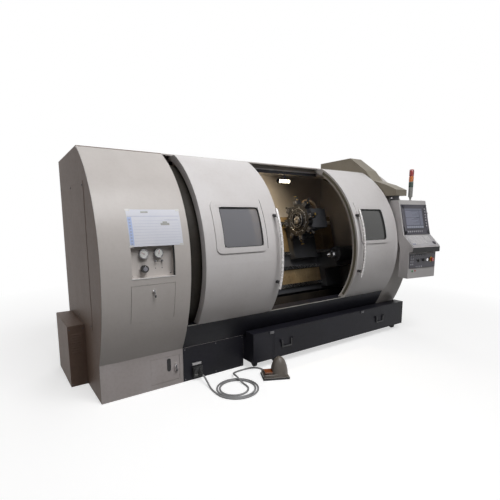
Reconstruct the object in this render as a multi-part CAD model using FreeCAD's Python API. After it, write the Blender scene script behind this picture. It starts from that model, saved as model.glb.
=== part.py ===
import FreeCAD
import Part
import math
import os

# A CNC lathe with a full enclosure: a gear and service cabinet on the left, two curved sliding
# doors, a slant bed with a turret and a tailstock, an end cabinet with a control pendant, a chip
# drawer under the front and a foot pedal on a cable. Millimetres, +Z up, front faces -Y, and the
# origin lies on the floor in the middle of the four anchor bolts.

V = FreeCAD.Vector

# Whole machine
body_length = 3690.0
body_depth = 1160.0
roof_fall = 38.0
sheet = 5.0
seam = 2.0
running_gap = 0.3
shaft_clearance = 0.05
overrun = 10.0

# Front profile of the cabinets: two arcs that meet upright at the nose
plinth_height = 313.0
nose_reach = 215.0
nose_height = 1085.0
upper_rise = 915.0
apex_lean = 62.02
cabinet_length = 690.0
end_cabinet_length = 370.0
edge_share = 0.16
spindle_passage_radius = 95.0

# Service panel of the left cabinet
recess_left = 219.0
recess_width = 337.0
recess_bottom = 1001.0
recess_height = 237.0
recess_depth = 62.0
recess_wall = 3.0
gauge_count = 2
gauge_radius = 36.0
gauge_length = 34.0
gauge_inset = 104.0
gauge_pitch = 116.0
gauge_rise = 178.0
fitting_radius = 9.0
fitting_length = 26.0
fitting_rise = 118.0
fitting_inset = 200.0
fitting_pitch = 52.0
knob_radius = 29.0
knob_length = 40.0
knob_rise = 66.0
knob_stem_radius = 11.0
knob_stem_length = 12.0
access_left = 209.0
access_width = 347.0
access_bottom = 651.0
access_height = 295.0
latch_radius = 12.0
latch_length = 8.0
latch_drop = 50.0

# Plinth under the left cabinet, with its small door
plinth_door_left = 402.0
plinth_door_width = 258.0
plinth_door_bottom = 45.0
plinth_door_height = 222.0
slot_width = 30.0
slot_height = 112.0
slot_offset = 145.0
slot_rise = 90.0
plinth_latch_offset = 222.0
plinth_latch_rise = 110.0
tab_width = 30.0
tab_height = 60.0

# Side box on the left
side_box_width = 136.0
side_box_front = 465.0
side_box_depth = 579.0
side_box_height = 534.0

# Doors
door_stand_off = 88.0
door_thickness = 70.0
door_skin = 5.0
door_nose_drop = 20.0
door_foot_lean = 35.75
door_top_drop = 15.0
door_sill_gap = 10.0
left_door_start = 780.0
left_door_width = 780.0
right_door_inset = 380.0
right_door_width = 710.0
window_bottom = 1170.0
window_height = 392.0
window_frame_bar = 36.0
window_frame_proud = 9.0
window_corner = 34.0
left_window_inset = 118.0
left_window_width = 470.0
right_window_inset = 78.0
right_window_width = 430.0
glass_thickness = 8.0
handle_radius = 13.0
handle_bottom = 800.0
handle_top = 1518.0
handle_stand_off = 58.0
handle_inset = 45.0
handle_foot_radius = 14.0
handle_foot_drop = 60.0
hanger_width = 90.0
hanger_height = 70.0
hanger_inset = 90.0
hanger_reach = 15.0
guard_gap = 18.0
left_guard_end = 1330.0
right_guard_length = 530.0
guard_drop = 110.0
guard_flange = 70.0
chuck_passage_radius = 178.0
bulkhead_setback = 480.0

# Roof, rails and front panels
rail_setback = 70.0
rail_depth = 55.0
rail_drop = 88.0
rail_lip = 12.0
roof_lip = 12.0
sill_height = 535.0
sill_depth = 165.0
sill_flange = 24.0
arm_length = 210.0
arm_back = 1000.0
arm_apex_setback = 469.0
arm_apex_rise = 188.0
arm_back_rise = 169.0
arm_slope_setback = 221.0
arm_slope_rise = 13.0
arm_knee_setback = 108.0
arm_knee_drop = 117.0
arm_root_reach = 83.0
arm_root_drop = 177.0
arm_tip_reach = 236.0
arm_tip_drop = 244.0
arm_tip_depth = 68.0
rear_cabinet_depth = 160.0

# Base and bed
pedestal_length = 1310.0
base_height = 300.0
base_inset = 20.0
rear_beam_front = 640.0
notch_width = 110.0
notch_length = 110.0
notch_height = 170.0
foot_plate = 35.0
casting_wall = 40.0
anchor_radius = 13.0
anchor_inset = 60.0
anchor_front = 730.0
anchor_back = 1080.0
spindle_setback = 300.0
spindle_height = 980.0
bed_slant = 75.0
bed_drop = 330.0
bed_thickness = 190.0
bed_low_reach = 395.0
bed_high_reach = 560.0
bed_start = 1250.0
bed_end_inset = 440.0
bed_foot_length = 240.0
way_width = 40.0
way_height = 32.0
carriage_way_low = 70.0
carriage_way_high = 450.0
tail_way_low = -330.0
tail_way_high = -110.0

# Headstock, spindle and drive
headstock_start = 720.0
headstock_length = 530.0
headstock_front_reach = 210.0
headstock_back_reach = 300.0
headstock_top_reach = 240.0
headstock_drop = 230.0
headstock_leg_depth = 340.0
headstock_fillet = 45.0
spindle_radius = 75.0
spindle_bore_radius = 41.0
spindle_tail = 410.0
nose_flange_radius = 110.0
nose_flange_length = 46.0
chuck_radius = 157.0
chuck_length = 130.0
chuck_chamfer = 6.0
jaw_count = 3
jaw_width = 46.0
jaw_inner = 55.0
jaw_outer = 140.0
jaw_length = 62.0
jaw_step_radius = 95.0
jaw_step_length = 26.0
jaw_slot_depth = 12.0
jaw_slot_inner = 44.0
belt_width = 96.0
belt_thickness = 9.0
pulley_start = 455.0
pulley_width = 110.0
spindle_pulley_radius = 140.0
motor_pulley_radius = 92.0
pulley_rim = 8.0
pulley_rim_width = 6.0
motor_setback = 420.0
motor_height = 505.0
motor_radius = 150.0
motor_start = 110.0
motor_shaft_radius = 24.0
motor_stub_length = 70.0
motor_face_gap = 12.0
motor_foot_width = 260.0
motor_foot_inset = 40.0

# Carriage and turret
carriage_inset = 805.0
carriage_length = 380.0
saddle_low = 15.0
saddle_high = 515.0
saddle_thickness = 73.0
saddle_lift = 4.0
cross_length = 310.0
cross_low = 265.0
cross_high = 640.0
cross_thickness = 70.0
turret_reach = 435.0
turret_box_length = 290.0
turret_box_half = 112.0
turret_box_front = 112.0
turret_flats = 8
turret_disc_width = 68.0
turret_disc_inner = 175.0
turret_boss_radius = 46.0
turret_boss_length = 14.0
turret_ring_radius = 92.0
turret_ring_bar = 14.0
turret_shaft_radius = 44.0
turret_shaft_length = 60.0
holder_width = 64.0
holder_length = 56.0
holder_height = 62.0
tool_side = 25.0
tool_reach = 52.0
conduit_radius = 21.0
conduit_span = 246.0

# Tailstock
tail_inset = 345.0
tail_length = 290.0
tail_barrel_radius = 92.0
tail_base_low = -375.0
tail_base_high = 5.0
tail_base_thickness = 110.0
tail_neck_low = -150.0
tail_neck_high = 60.0
quill_radius = 42.0
quill_length = 250.0
quill_out = 50.0
centre_radius = 30.0
centre_length = 56.0
centre_nose = 42.0
centre_shank_radius = 19.0
centre_shank_length = 60.0
centre_neck_share = 0.8

# Chip chute and lamp
chute_front_low = 150.0
chute_back_top = 455.0
chute_back_low = 400.0
chute_mouth_height = 322.0
chute_back_drop = 480.0
lamp_radius = 20.0
lamp_cap_step = 6.0
lamp_length = 150.0
lamp_door_gap = 510.0
lamp_setback = 420.0
lamp_drop = 74.0
lamp_cap_length = 16.0
lamp_bracket_width = 30.0

# Coolant tank and chip drawer
tank_start = 1330.0
tank_length = 242.0
drawer_reach = 169.0
drawer_bottom = 72.0
drawer_tank_top = 296.0
drawer_front_rise = 64.0
drawer_depth = 720.0
drawer_wall = 5.0
drawer_lid_depth = 128.0
pull_left = 1733.0
pull_end_inset = 476.0
pull_width = 130.0
pull_height = 62.0
pull_top = 235.0
pull_rod = 7.0
ear_width = 14.0
ear_reach = 18.0
wheel_radius = 34.0
wheel_width = 30.0
wheel_bore_radius = 8.0
wheel_inset = 78.0
wheel_setback = 95.0
fork_plate = 6.0
fork_gap = 1.0

# Cable outlet on the lower front panel
outlet_left = 776.0
outlet_width = 92.0
outlet_bottom = 26.0
outlet_height = 98.0
outlet_reach = 34.0
outlet_bar_height = 24.0
outlet_bar_gap = 10.0
outlet_bar_reach = 8.0
gland_radius = 17.0
gland_length = 22.0
gland_inset = 60.0
gland_rise = 36.0

# Control pendant, turned towards the operator about its swivel
pendant_axis_inset = 293.0
pendant_axis_reach = 169.0
pendant_turn = -7.6
pendant_left = 53.0
pendant_width = 461.0
pendant_face_top_reach = 104.0
pendant_face_low_reach = 202.0
pendant_face_height = 406.0
pendant_shelf_reach = 349.0
pendant_shelf_drop = 131.0
pendant_shelf_edge = 44.0
pendant_box_reach = 297.0
pendant_box_drop = 19.0
pendant_box_height = 302.0
pendant_box_back = 166.0
pendant_knee_rise = 47.0
pendant_back_drop = 73.0
pendant_back_top = 24.0
swivel_length = 55.0
swivel_radius = 48.0
bezel_margin = 22.0
bezel_thickness = 6.0
bezel_top_drop = 52.0
bezel_low_rise = 4.0
screen_left = 50.0
screen_right = 88.0
screen_top_drop = 42.0
screen_low_rise = 74.0
screen_sink = 2.0
key_size = 26.0
key_pitch = 34.0
key_height = 3.0
key_count = 7
row_key_count = 8
shelf_margin = 20.0
keyboard_thickness = 5.0
ball_radius = 19.0
panel_left_margin = 12.0
panel_right_margin = 8.0
panel_top_drop = 18.0
panel_height = 166.0
panel_thickness = 5.0
panel_key_count = 4
panel_key_pitch = 32.0
stop_radius = 22.0
stop_head = 16.0
stop_stem_radius = 13.0
stop_stem = 12.0
stop_inset = 76.0
dial_radius = 19.0
dial_length = 20.0
dial_inset = 210.0
control_rise = 75.0
tower_offset = 230.0
tower_setback = 30.0
tower_radius = 28.0
tower_base_radius = 20.0
tower_base_height = 50.0
tower_stem_height = 110.0
tower_lens_height = 66.0
tower_lens_count = 3
tower_cap_height = 14.0
stem_share = 0.55

# Foot pedal under its guard hood
pedal_left = 1424.0
pedal_reach = 377.0
pedal_turn = -25.8
pedal_length = 240.0
pedal_width = 160.0
pedal_base_height = 22.0
hood_height = 172.0
hood_wall = 5.0
hood_open_share = 0.32
treadle_length = 150.0
treadle_width = 92.0
treadle_thickness = 14.0
treadle_rise = 52.0
treadle_pivot_radius = 6.0
treadle_back = 170.0
hood_peak_share = 0.28
hood_front_share = 0.86
hood_shoulder_share = 0.72
gland_offset = 42.0
cable_last_run = 30.0
cord_arc_share = 0.45

# Pedal cable
cable_radius = 8.0
cable_floor_gap = 0.3
coil_left = 1000.0
coil_reach = 385.0
coil_radius = 186.0
coil_pitch = 24.0
coil_last_radius = 118.0
coil_half_turns = 4

# Places worked out from the sizes above
left = -body_length / 2
right = body_length / 2
front = -(anchor_front + anchor_back) / 2
back = front + body_depth
nose_y = front - nose_reach
roof_height = nose_height + upper_rise
back_height = roof_height - roof_fall
upper_radius = upper_rise / math.sin(math.radians(apex_lean))
apex_y = nose_y + upper_radius - upper_radius * math.cos(math.radians(apex_lean))
lower_radius = (nose_reach ** 2 + (nose_height - plinth_height) ** 2) / (2 * nose_reach)
door_nose_y = nose_y - door_stand_off
door_nose_height = nose_height - door_nose_drop
door_top = roof_height - door_top_drop
door_bottom = sill_height + door_sill_gap
door_lower_radius = (door_nose_height - door_bottom) / math.sin(math.radians(door_foot_lean))
guard_top = roof_height - guard_drop
rail_bottom = roof_height - rail_drop
lamp_height = rail_bottom - lamp_drop
arm_tip_top = roof_height - arm_tip_drop
arm_tip_bottom = arm_tip_top - arm_tip_depth
spindle_y = front + spindle_setback
slant = math.radians(bed_slant)
end_start = right - end_cabinet_length
right_door_start = body_length - right_door_inset - right_door_width
bed_end = body_length - bed_end_inset
carriage_start = bed_end - carriage_inset
cross_start = carriage_start
tail_start = bed_end - tail_inset
lamp_start = right_door_start - lamp_door_gap
pull_pitch = body_length - pull_left - pull_end_inset
pendant_axis_left = body_length - pendant_axis_inset
chute_back_height = spindle_height - chute_back_drop
enclosure_start = left + cabinet_length
drawer_start = tank_start + tank_length
left_door_x = left + left_door_start
right_door_x = left + right_door_start
skin_top = roof_height - sheet
door_inner_y = door_nose_y + door_thickness
guard_y = door_inner_y + guard_gap
guard_upper = upper_radius - door_thickness - guard_gap
guard_lower = door_lower_radius - door_thickness - guard_gap
drawer_front_top = drawer_tank_top + drawer_front_rise
pendant_top = arm_tip_bottom - swivel_length
pendant_face_low = pendant_top - pendant_face_height
pendant_shelf_height = pendant_face_low - pendant_shelf_drop
pendant_box_top = pendant_shelf_height - pendant_shelf_edge - pendant_box_drop
pendant_box_bottom = pendant_box_top - pendant_box_height
rear_y = back - rear_cabinet_depth
recess_back_y = nose_y + recess_depth - recess_wall


def box(x, y, z):
    """Block between a pair of places along each axis."""
    return Part.makeBox(x[1] - x[0], y[1] - y[0], z[1] - z[0], V(x[0], y[0], z[0]))


def rod(start, direction, radius, length):
    """Round bar from a point along a direction."""
    return Part.makeCylinder(radius, length, start, direction)


def prism(points, start, length):
    """Outline of (y, z) points drawn out along X."""
    corners = [V(start, y, z) for y, z in points]
    return Part.Face(Part.makePolygon(corners + corners[:1])).extrude(V(length, 0, 0))


def arc_y(nose, height, radius, z):
    """Y of an arc that stands upright at its nose."""
    return nose + radius - math.sqrt(radius ** 2 - (z - height) ** 2)


def profile(nose, height, upper, lower, z_low, z_high, x):
    """Arcs of a front profile, from the low end to the high end."""
    spans = []
    if z_low < height:
        spans.append((lower, z_low, min(height, z_high)))
    if z_high > height:
        spans.append((upper, max(height, z_low), z_high))
    edges = []
    for radius, z_start, z_end in spans:
        heights = (z_start, (z_start + z_end) / 2, z_end)
        edges.append(Part.Arc(*[V(x, arc_y(nose, height, radius, z), z) for z in heights]).toShape())
    return edges


def ends(edges):
    """First and last point of a run of edges."""
    return edges[0].Vertexes[0].Point, edges[-1].Vertexes[-1].Point


def band(nose, height, upper, lower, thickness, z, x):
    """Curved plate that follows a front profile, between heights z and places x."""
    outer = profile(nose, height, upper, lower, z[0], z[1], x[0])
    inner = profile(nose + thickness, height, upper - thickness, lower - thickness, z[0], z[1], x[0])
    low_out, high_out = ends(outer)
    low_in, high_in = ends(inner)
    edges = outer + inner + [Part.makeLine(low_out, low_in), Part.makeLine(high_out, high_in)]
    return Part.Face(Part.Wire(Part.sortEdges(edges)[0])).extrude(V(x[1] - x[0], 0, 0))


def space_behind(nose, height, upper, lower, z, y_back, x):
    """Space between a front profile and a depth, between heights z and places x."""
    arcs = profile(nose, height, upper, lower, z[0], z[1], x[0])
    low, high = ends(arcs)
    corners = [high, V(x[0], y_back, z[1]), V(x[0], y_back, z[0]), low]
    edges = arcs + [Part.makeLine(a, b) for a, b in zip(corners, corners[1:])]
    return Part.Face(Part.Wire(Part.sortEdges(edges)[0])).extrude(V(x[1] - x[0], 0, 0))


def roof_z(y):
    """Height of the sloping roof at a depth."""
    return roof_height - (y - apex_y) * (roof_height - back_height) / (back - apex_y)


def cabinet_section(inset, y_back, z_floor, x, length):
    """Section of a cabinet behind its curved front, drawn out along X."""
    z_low = max(plinth_height, z_floor)
    arcs = profile(nose_y + inset, nose_height, upper_radius - inset, lower_radius - inset, z_low,
                   roof_height - inset, x)
    low, high = ends(arcs)
    corners = [high, V(x, y_back, roof_z(y_back) - inset), V(x, y_back, z_floor)]
    if z_floor < z_low:
        corners.append(V(x, low.y, z_floor))
    corners.append(low)
    edges = arcs + [Part.makeLine(a, b) for a, b in zip(corners, corners[1:])]
    return Part.Face(Part.Wire(Part.sortEdges(edges)[0])).extrude(V(length, 0, 0))


def slanted(s, d):
    """(y, z) of a place up the bed slope by s and out of it by d, from the spindle axis."""
    y = spindle_y + s * math.cos(slant) - d * math.sin(slant)
    z = spindle_height + s * math.sin(slant) + d * math.cos(slant)
    return y, z


def slant_box(x, s, d):
    """Block square to the bed slope."""
    corners = [slanted(s[0], d[0]), slanted(s[1], d[0]), slanted(s[1], d[1]), slanted(s[0], d[1])]
    return prism(corners, x[0], x[1] - x[0])


def one(shape):
    """Fused shape without leftover seams."""
    return shape.removeSplitter()


# Left cabinet
def cabinet_front_skin():
    """Curved front with the gauge recess and the opening of the access door."""
    skin = band(nose_y, nose_height, upper_radius, lower_radius, sheet, (plinth_height, skin_top),
                (left, enclosure_start))
    x = (left + recess_left, left + recess_left + recess_width)
    z = (recess_bottom, recess_bottom + recess_height)
    skin = skin.cut(box(x, (nose_y - overrun, nose_y + recess_depth), z))
    tray = box((x[0] - recess_wall, x[1] + recess_wall), (nose_y - overrun, nose_y + recess_depth),
               (z[0] - recess_wall, z[1] + recess_wall))
    tray = tray.cut(box(x, (nose_y - overrun, recess_back_y), z))
    tray = tray.common(cabinet_section(0, back, 0, left, cabinet_length))
    access = box((left + access_left, left + access_left + access_width), (nose_y - overrun, front),
                 (access_bottom, access_bottom + access_height))
    return one(skin.cut(access).fuse(tray))


def cabinet_shell():
    """Side panels, top and back of the left cabinet."""
    side = cabinet_section(sheet, back, 0, left, sheet)
    inner_side = cabinet_section(sheet, back, base_height, enclosure_start - sheet, sheet)
    passage = rod(V(enclosure_start - overrun, spindle_y, spindle_height), V(1, 0, 0),
                  spindle_passage_radius, 2 * overrun)
    inner_side = inner_side.cut(passage)
    top_front = arc_y(nose_y, nose_height, upper_radius, skin_top)
    seat_back = arc_y(nose_y + sheet, nose_height, upper_radius - sheet, skin_top)
    top = prism([(top_front, roof_height), (back, back_height), (back, back_height - sheet),
                 (seat_back, skin_top), (top_front, skin_top)], left, cabinet_length)
    rear = box((left, enclosure_start), (back - sheet, back), (0, back_height - sheet))
    return one(side.fuse([inner_side, top, rear]))


def plinth_panels():
    """Plate under the curved front with the opening of its small door, and the plate on to the tank."""
    plate = box((left, enclosure_start), (front, front + sheet), (0, plinth_height))
    opening = box((left + plinth_door_left, left + plinth_door_left + plinth_door_width),
                  (front - overrun, front + sheet + overrun), (plinth_door_bottom,
                                                               plinth_door_bottom + plinth_door_height))
    other = box((enclosure_start, left + tank_start - seam), (front, front + sheet), (0, plinth_height))
    return Part.makeCompound([plate.cut(opening), other])


def pressure_gauges():
    """Two gauges and two small fittings on the back of the recess."""
    pieces = []
    for number in range(gauge_count):
        x = left + recess_left + gauge_inset + number * gauge_pitch
        gauge = rod(V(x, recess_back_y, recess_bottom + gauge_rise), V(0, -1, 0), gauge_radius,
                    gauge_length)
        pieces.append(gauge.makeFillet(gauge_length * edge_share, [gauge.Edges[0]]))
        fitting_x = left + recess_left + fitting_inset + number * fitting_pitch
        pieces.append(rod(V(fitting_x, recess_back_y, recess_bottom + fitting_rise), V(0, -1, 0),
                          fitting_radius, fitting_length))
    return Part.makeCompound(pieces)


def regulator_knob():
    """Knob on its stem, in front of the recess back."""
    start = V(left + recess_left + gauge_inset, recess_back_y - running_gap, recess_bottom + knob_rise)
    stem = rod(start, V(0, -1, 0), knob_stem_radius, knob_stem_length)
    head = rod(start - V(0, knob_stem_length, 0), V(0, -1, 0), knob_radius, knob_length)
    head = head.makeChamfer(knob_length * edge_share, [head.Edges[0], head.Edges[2]])
    return one(stem.fuse(head))


def access_door():
    """Curved flap in the front skin, hinged along its lower edge, with a key latch."""
    x = (left + access_left + seam, left + access_left + access_width - seam)
    z = (access_bottom + running_gap, access_bottom + access_height - seam)
    flap = band(nose_y, nose_height, upper_radius, lower_radius, sheet, z, x)
    latch_z = z[1] - latch_drop
    surface = arc_y(nose_y, nose_height, lower_radius, latch_z)
    latch = rod(V((x[0] + x[1]) / 2, surface + sheet / 2, latch_z), V(0, -1, 0), latch_radius,
                latch_length + sheet / 2)
    return one(flap.fuse(latch))


def plinth_door():
    """Small door with a blind slot and a turned tab."""
    x = (left + plinth_door_left + running_gap, left + plinth_door_left + plinth_door_width - seam)
    z = (plinth_door_bottom + seam, plinth_door_bottom + plinth_door_height - seam)
    plate = box(x, (front, front + sheet), z)
    slot_x = x[0] + slot_offset
    slot_z = (z[0] + slot_rise + slot_width / 2, z[0] + slot_rise + slot_height - slot_width / 2)
    slot = box((slot_x - slot_width / 2, slot_x + slot_width / 2), (front - overrun, front + sheet / 2),
               slot_z)
    for height in slot_z:
        slot = slot.fuse(rod(V(slot_x, front - overrun, height), V(0, 1, 0), slot_width / 2,
                             overrun + sheet / 2))
    latch_x = x[0] + plinth_latch_offset
    latch_z = z[0] + plinth_latch_rise
    boss = rod(V(latch_x, front + sheet / 2, latch_z + tab_height / 2), V(0, -1, 0), latch_radius,
               latch_length + sheet / 2)
    tab = box((latch_x - tab_width / 2, latch_x + tab_width / 2), (front - latch_length, front),
              (latch_z - tab_height / 2, latch_z + tab_height / 2))
    return one(plate.cut(slot).fuse([boss, tab]))


def coolant_box():
    """Box beside the left cabinet, open towards the cabinet."""
    x = (left - side_box_width, left)
    y = (front + side_box_front, front + side_box_front + side_box_depth)
    outer = box(x, y, (0, side_box_height))
    inner = box((x[0] + sheet, left + overrun), (y[0] + sheet, y[1] - sheet),
                (sheet, side_box_height - sheet))
    return outer.cut(inner)


# Sliding doors
def door_shell(x, width, window_inset, window_width):
    """Curved pan with its edges turned back, the window opening and two hangers."""
    pan = band(door_nose_y, door_nose_height, upper_radius, door_lower_radius, door_thickness,
               (door_bottom, door_top), (x, x + width))
    hollow = band(door_nose_y + door_skin, door_nose_height, upper_radius - door_skin,
                  door_lower_radius - door_skin,
                  door_thickness, (door_bottom + door_skin, door_top - door_skin), (x + door_skin,
                                                                                    x + width - door_skin))
    pan = pan.cut(hollow)
    behind = apex_y + rail_setback - running_gap - hanger_reach
    pan = pan.cut(box((x - overrun, x + width + overrun), (behind, back), (nose_height, roof_height)))
    envelope = space_behind(door_nose_y, door_nose_height, upper_radius, door_lower_radius,
                            (door_bottom, door_top),
                            back, (x, x + width))
    for place in (x + hanger_inset, x + width - hanger_inset):
        block = box((place - hanger_width / 2, place + hanger_width / 2),
                    (behind - door_thickness, behind + hanger_reach),
                    (door_top - hanger_height, door_top))
        pan = pan.fuse(block.common(envelope))
    across, up = window_places(x, window_inset, window_width)
    return pan.cut(rounded_window(across, up, window_corner, door_thickness + window_height))


def rounded_window(x, z, corner, depth):
    """Rounded rectangle drawn out along Y, through a door."""
    block = box(x, (door_nose_y - overrun, door_nose_y + depth), z)
    upright = [edge for edge in block.Edges if abs(edge.tangentAt(0).y) > 0.9]
    return block.makeFillet(corner, upright)


def window_places(x, inset, width):
    """Places of a window opening along X and Z."""
    return (x + inset, x + inset + width), (window_bottom, window_bottom + window_height)


def door_window_frame(x, inset, width):
    """Raised frame round the window, on the outer face of the door."""
    across, up = window_places(x, inset, width)
    outer = rounded_window((across[0] - window_frame_bar / 2, across[1] + window_frame_bar / 2),
                           (up[0] - window_frame_bar / 2, up[1] + window_frame_bar / 2),
                           window_corner + window_frame_bar / 2, door_thickness + window_height)
    inner = rounded_window((across[0] + window_frame_bar / 2, across[1] - window_frame_bar / 2),
                           (up[0] + window_frame_bar / 2, up[1] - window_frame_bar / 2),
                           window_corner - window_frame_bar / 2, door_thickness + window_height)
    plate = band(door_nose_y - window_frame_proud, door_nose_height, upper_radius + window_frame_proud,
                 door_lower_radius + window_frame_proud, window_frame_proud, (door_bottom, door_top),
                 (x, across[1] + window_frame_bar))
    return plate.common(outer.cut(inner))


def door_glass(x, inset, width):
    """Curved pane against the back of the door skin."""
    across, up = window_places(x, inset, width)
    margin = window_frame_bar / 2
    return band(door_nose_y + door_skin, door_nose_height, upper_radius - door_skin,
                door_lower_radius - door_skin,
                glass_thickness, (up[0] - margin, up[1] + margin), (across[0] - margin, across[1] + margin))


def door_handle(x):
    """Curved pull bar on two feet."""
    arcs = profile(door_nose_y - handle_stand_off, door_nose_height, upper_radius + handle_stand_off,
                   door_lower_radius + handle_stand_off, handle_bottom, handle_top, x)
    low, high = ends(arcs)
    tangent = arcs[0].tangentAt(arcs[0].FirstParameter)
    ring = Part.Wire(Part.makeCircle(handle_radius, low, tangent))
    bar = Part.Wire(arcs).makePipeShell([ring], True, True)
    for height, radius in ((handle_bottom + handle_foot_drop, door_lower_radius),
                           (handle_top - handle_foot_drop, upper_radius)):
        surface = arc_y(door_nose_y, door_nose_height, radius, height)
        foot = rod(V(x, surface - handle_stand_off, height), V(0, 1, 0), handle_foot_radius,
                   handle_stand_off + overrun)
        space = band(door_nose_y - handle_stand_off, door_nose_height, upper_radius + handle_stand_off,
                     door_lower_radius + handle_stand_off, handle_stand_off, (door_bottom, door_top),
                     (x - 2 * handle_radius, x + 2 * handle_radius))
        bar = bar.fuse(foot.common(space))
    return bar


def fixed_guards():
    """Curved guards behind the doors, the left one with the bulkhead round the chuck."""
    z = (sill_height, guard_top)
    x = left + left_guard_end
    guard = band(guard_y, door_nose_height, guard_upper, guard_lower, sheet, z, (enclosure_start, x))
    wall = space_behind(guard_y, door_nose_height, guard_upper, guard_lower, z, back, (x - sheet, x))
    wall = wall.common(box((x - overrun, x + overrun), (nose_y, front + bulkhead_setback), z))
    wall = wall.cut(rod(V(x - overrun, spindle_y, spindle_height), V(1, 0, 0), chuck_passage_radius,
                        2 * overrun))
    start = end_start - right_guard_length
    other = band(guard_y, door_nose_height, guard_upper, guard_lower, sheet, z, (start, end_start))
    flange = band(guard_y, door_nose_height, guard_upper, guard_lower, guard_flange, z,
                  (start, start + sheet))
    return Part.makeCompound([one(guard.fuse(wall)), one(other.fuse(flange))])


# Roof, rail, front panels and the right end
def roof_panel():
    """Sloping roof over the doors, with a lip along its front."""
    outline = [(apex_y, roof_height - roof_lip), (apex_y, roof_height), (rear_y, roof_z(rear_y)),
               (rear_y, roof_z(rear_y) - sheet), (apex_y + sheet, roof_z(apex_y + sheet) - sheet),
               (apex_y + sheet, roof_height - roof_lip)]
    return prism(outline, enclosure_start, end_start - enclosure_start)


def door_rail():
    """Channel that carries the doors, under the roof."""
    y = (apex_y + rail_setback, apex_y + rail_setback + rail_depth)
    outline = [(y[0], rail_bottom), (y[1], rail_bottom), (y[1], roof_z(y[1]) - sheet),
               (y[0], roof_z(y[0]) - sheet)]
    groove = [(y[0] - overrun, rail_bottom + rail_lip), (y[0] + rail_lip, rail_bottom + rail_lip),
              (y[0] + rail_lip, rail_bottom + 2 * rail_lip), (y[0] - overrun, rail_bottom + 2 * rail_lip)]
    length = end_start - enclosure_start
    return prism(outline, enclosure_start, length).cut(prism(groove, enclosure_start, length))


def apron_panel():
    """Curved apron under the doors, with the sill folded back from its top."""
    x = (enclosure_start, end_start)
    curve = band(nose_y, nose_height, upper_radius, lower_radius, sheet, (plinth_height, sill_height), x)
    sill_front = arc_y(nose_y, nose_height, lower_radius, sill_height)
    sill = box(x, (sill_front, sill_front + sill_depth), (sill_height - sheet, sill_height))
    fold = box(x, (sill_front + sill_depth - sheet, sill_front + sill_depth),
               (sill_height - sill_flange, sill_height))
    return one(curve.fuse([sill, fold]))


def right_end_cabinet():
    """Closed cabinet at the right end, with the same front curve."""
    outer = cabinet_section(0, rear_y, plinth_height, end_start, end_cabinet_length)
    inner = cabinet_section(sheet, rear_y - sheet, plinth_height + sheet, end_start + sheet,
                            end_cabinet_length - 2 * sheet)
    return outer.cut(inner)


def rear_cabinet():
    """Electrical cabinet along the back, standing on the base."""
    x = (enclosure_start, right)
    outline = [(rear_y, base_height), (back, base_height), (back, back_height), (rear_y, roof_z(rear_y))]
    hollow = [(rear_y + sheet, base_height + sheet), (back - sheet, base_height + sheet),
              (back - sheet, back_height - sheet), (rear_y + sheet, roof_z(rear_y) - sheet)]
    return prism(outline, x[0], x[1] - x[0]).cut(prism(hollow, x[0] + sheet, x[1] - x[0] - 2 * sheet))


def pendant_arm():
    """Hollow arm over the right end, and the swivel that hangs from its tip."""
    outline = [(front + arm_back, roof_z(front + arm_back)),
               (front + arm_back, roof_height + arm_back_rise),
               (front + arm_apex_setback, roof_height + arm_apex_rise),
               (front + arm_slope_setback, roof_height + arm_slope_rise),
               (front + arm_knee_setback, roof_height - arm_knee_drop),
               (front - arm_root_reach, roof_height - arm_root_drop),
               (front - arm_tip_reach, arm_tip_top), (front - arm_tip_reach, arm_tip_bottom),
               (front + arm_apex_setback, arm_tip_bottom)]
    arm = prism(outline, end_start, arm_length).cut(cabinet_section(0, back, 0, end_start, arm_length))
    section = [face for face in arm.Faces if abs(face.CenterOfMass.x - end_start) < sheet]
    core = section[0].makeOffset2D(-sheet).extrude(V(arm_length - 2 * sheet, 0, 0))
    core.translate(V(sheet, 0, 0))
    swivel = rod(V(left + pendant_axis_left, front - pendant_axis_reach, pendant_top + running_gap),
                 V(0, 0, 1), swivel_radius, swivel_length - running_gap)
    return Part.makeCompound([arm.cut(core), swivel])


def work_lamp():
    """Tube lamp with end caps, hung from the door rail."""
    y = front + lamp_setback
    tube = rod(V(left + lamp_start, y, lamp_height), V(1, 0, 0), lamp_radius, lamp_length)
    for x in (left + lamp_start - lamp_cap_length, left + lamp_start + lamp_length):
        tube = tube.fuse(rod(V(x, y, lamp_height), V(1, 0, 0), lamp_radius + lamp_cap_step,
                             lamp_cap_length))
    middle = left + lamp_start + lamp_length / 2
    hanger = box((middle - lamp_bracket_width / 2, middle + lamp_bracket_width / 2),
                 (y - lamp_bracket_width / 2, y + lamp_bracket_width / 2), (lamp_height, rail_bottom))
    return tube.fuse(hanger)


def cable_outlet():
    """Socket box on the lower front panel, with a plain bar above and the cable gland."""
    x = (left + outlet_left, left + outlet_left + outlet_width)
    z = (outlet_bottom, outlet_bottom + outlet_height)
    body = box(x, (front - outlet_reach, front), z)
    gland = rod(V(x[0] + gland_inset, front - outlet_reach, outlet_bottom + gland_rise), V(0, -1, 0),
                gland_radius, gland_length)
    bar_z = (z[1] + outlet_bar_gap, z[1] + outlet_bar_gap + outlet_bar_height)
    bar = box(x, (front - outlet_bar_reach, front), bar_z)
    return Part.makeCompound([body.fuse(gland), bar])


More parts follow.
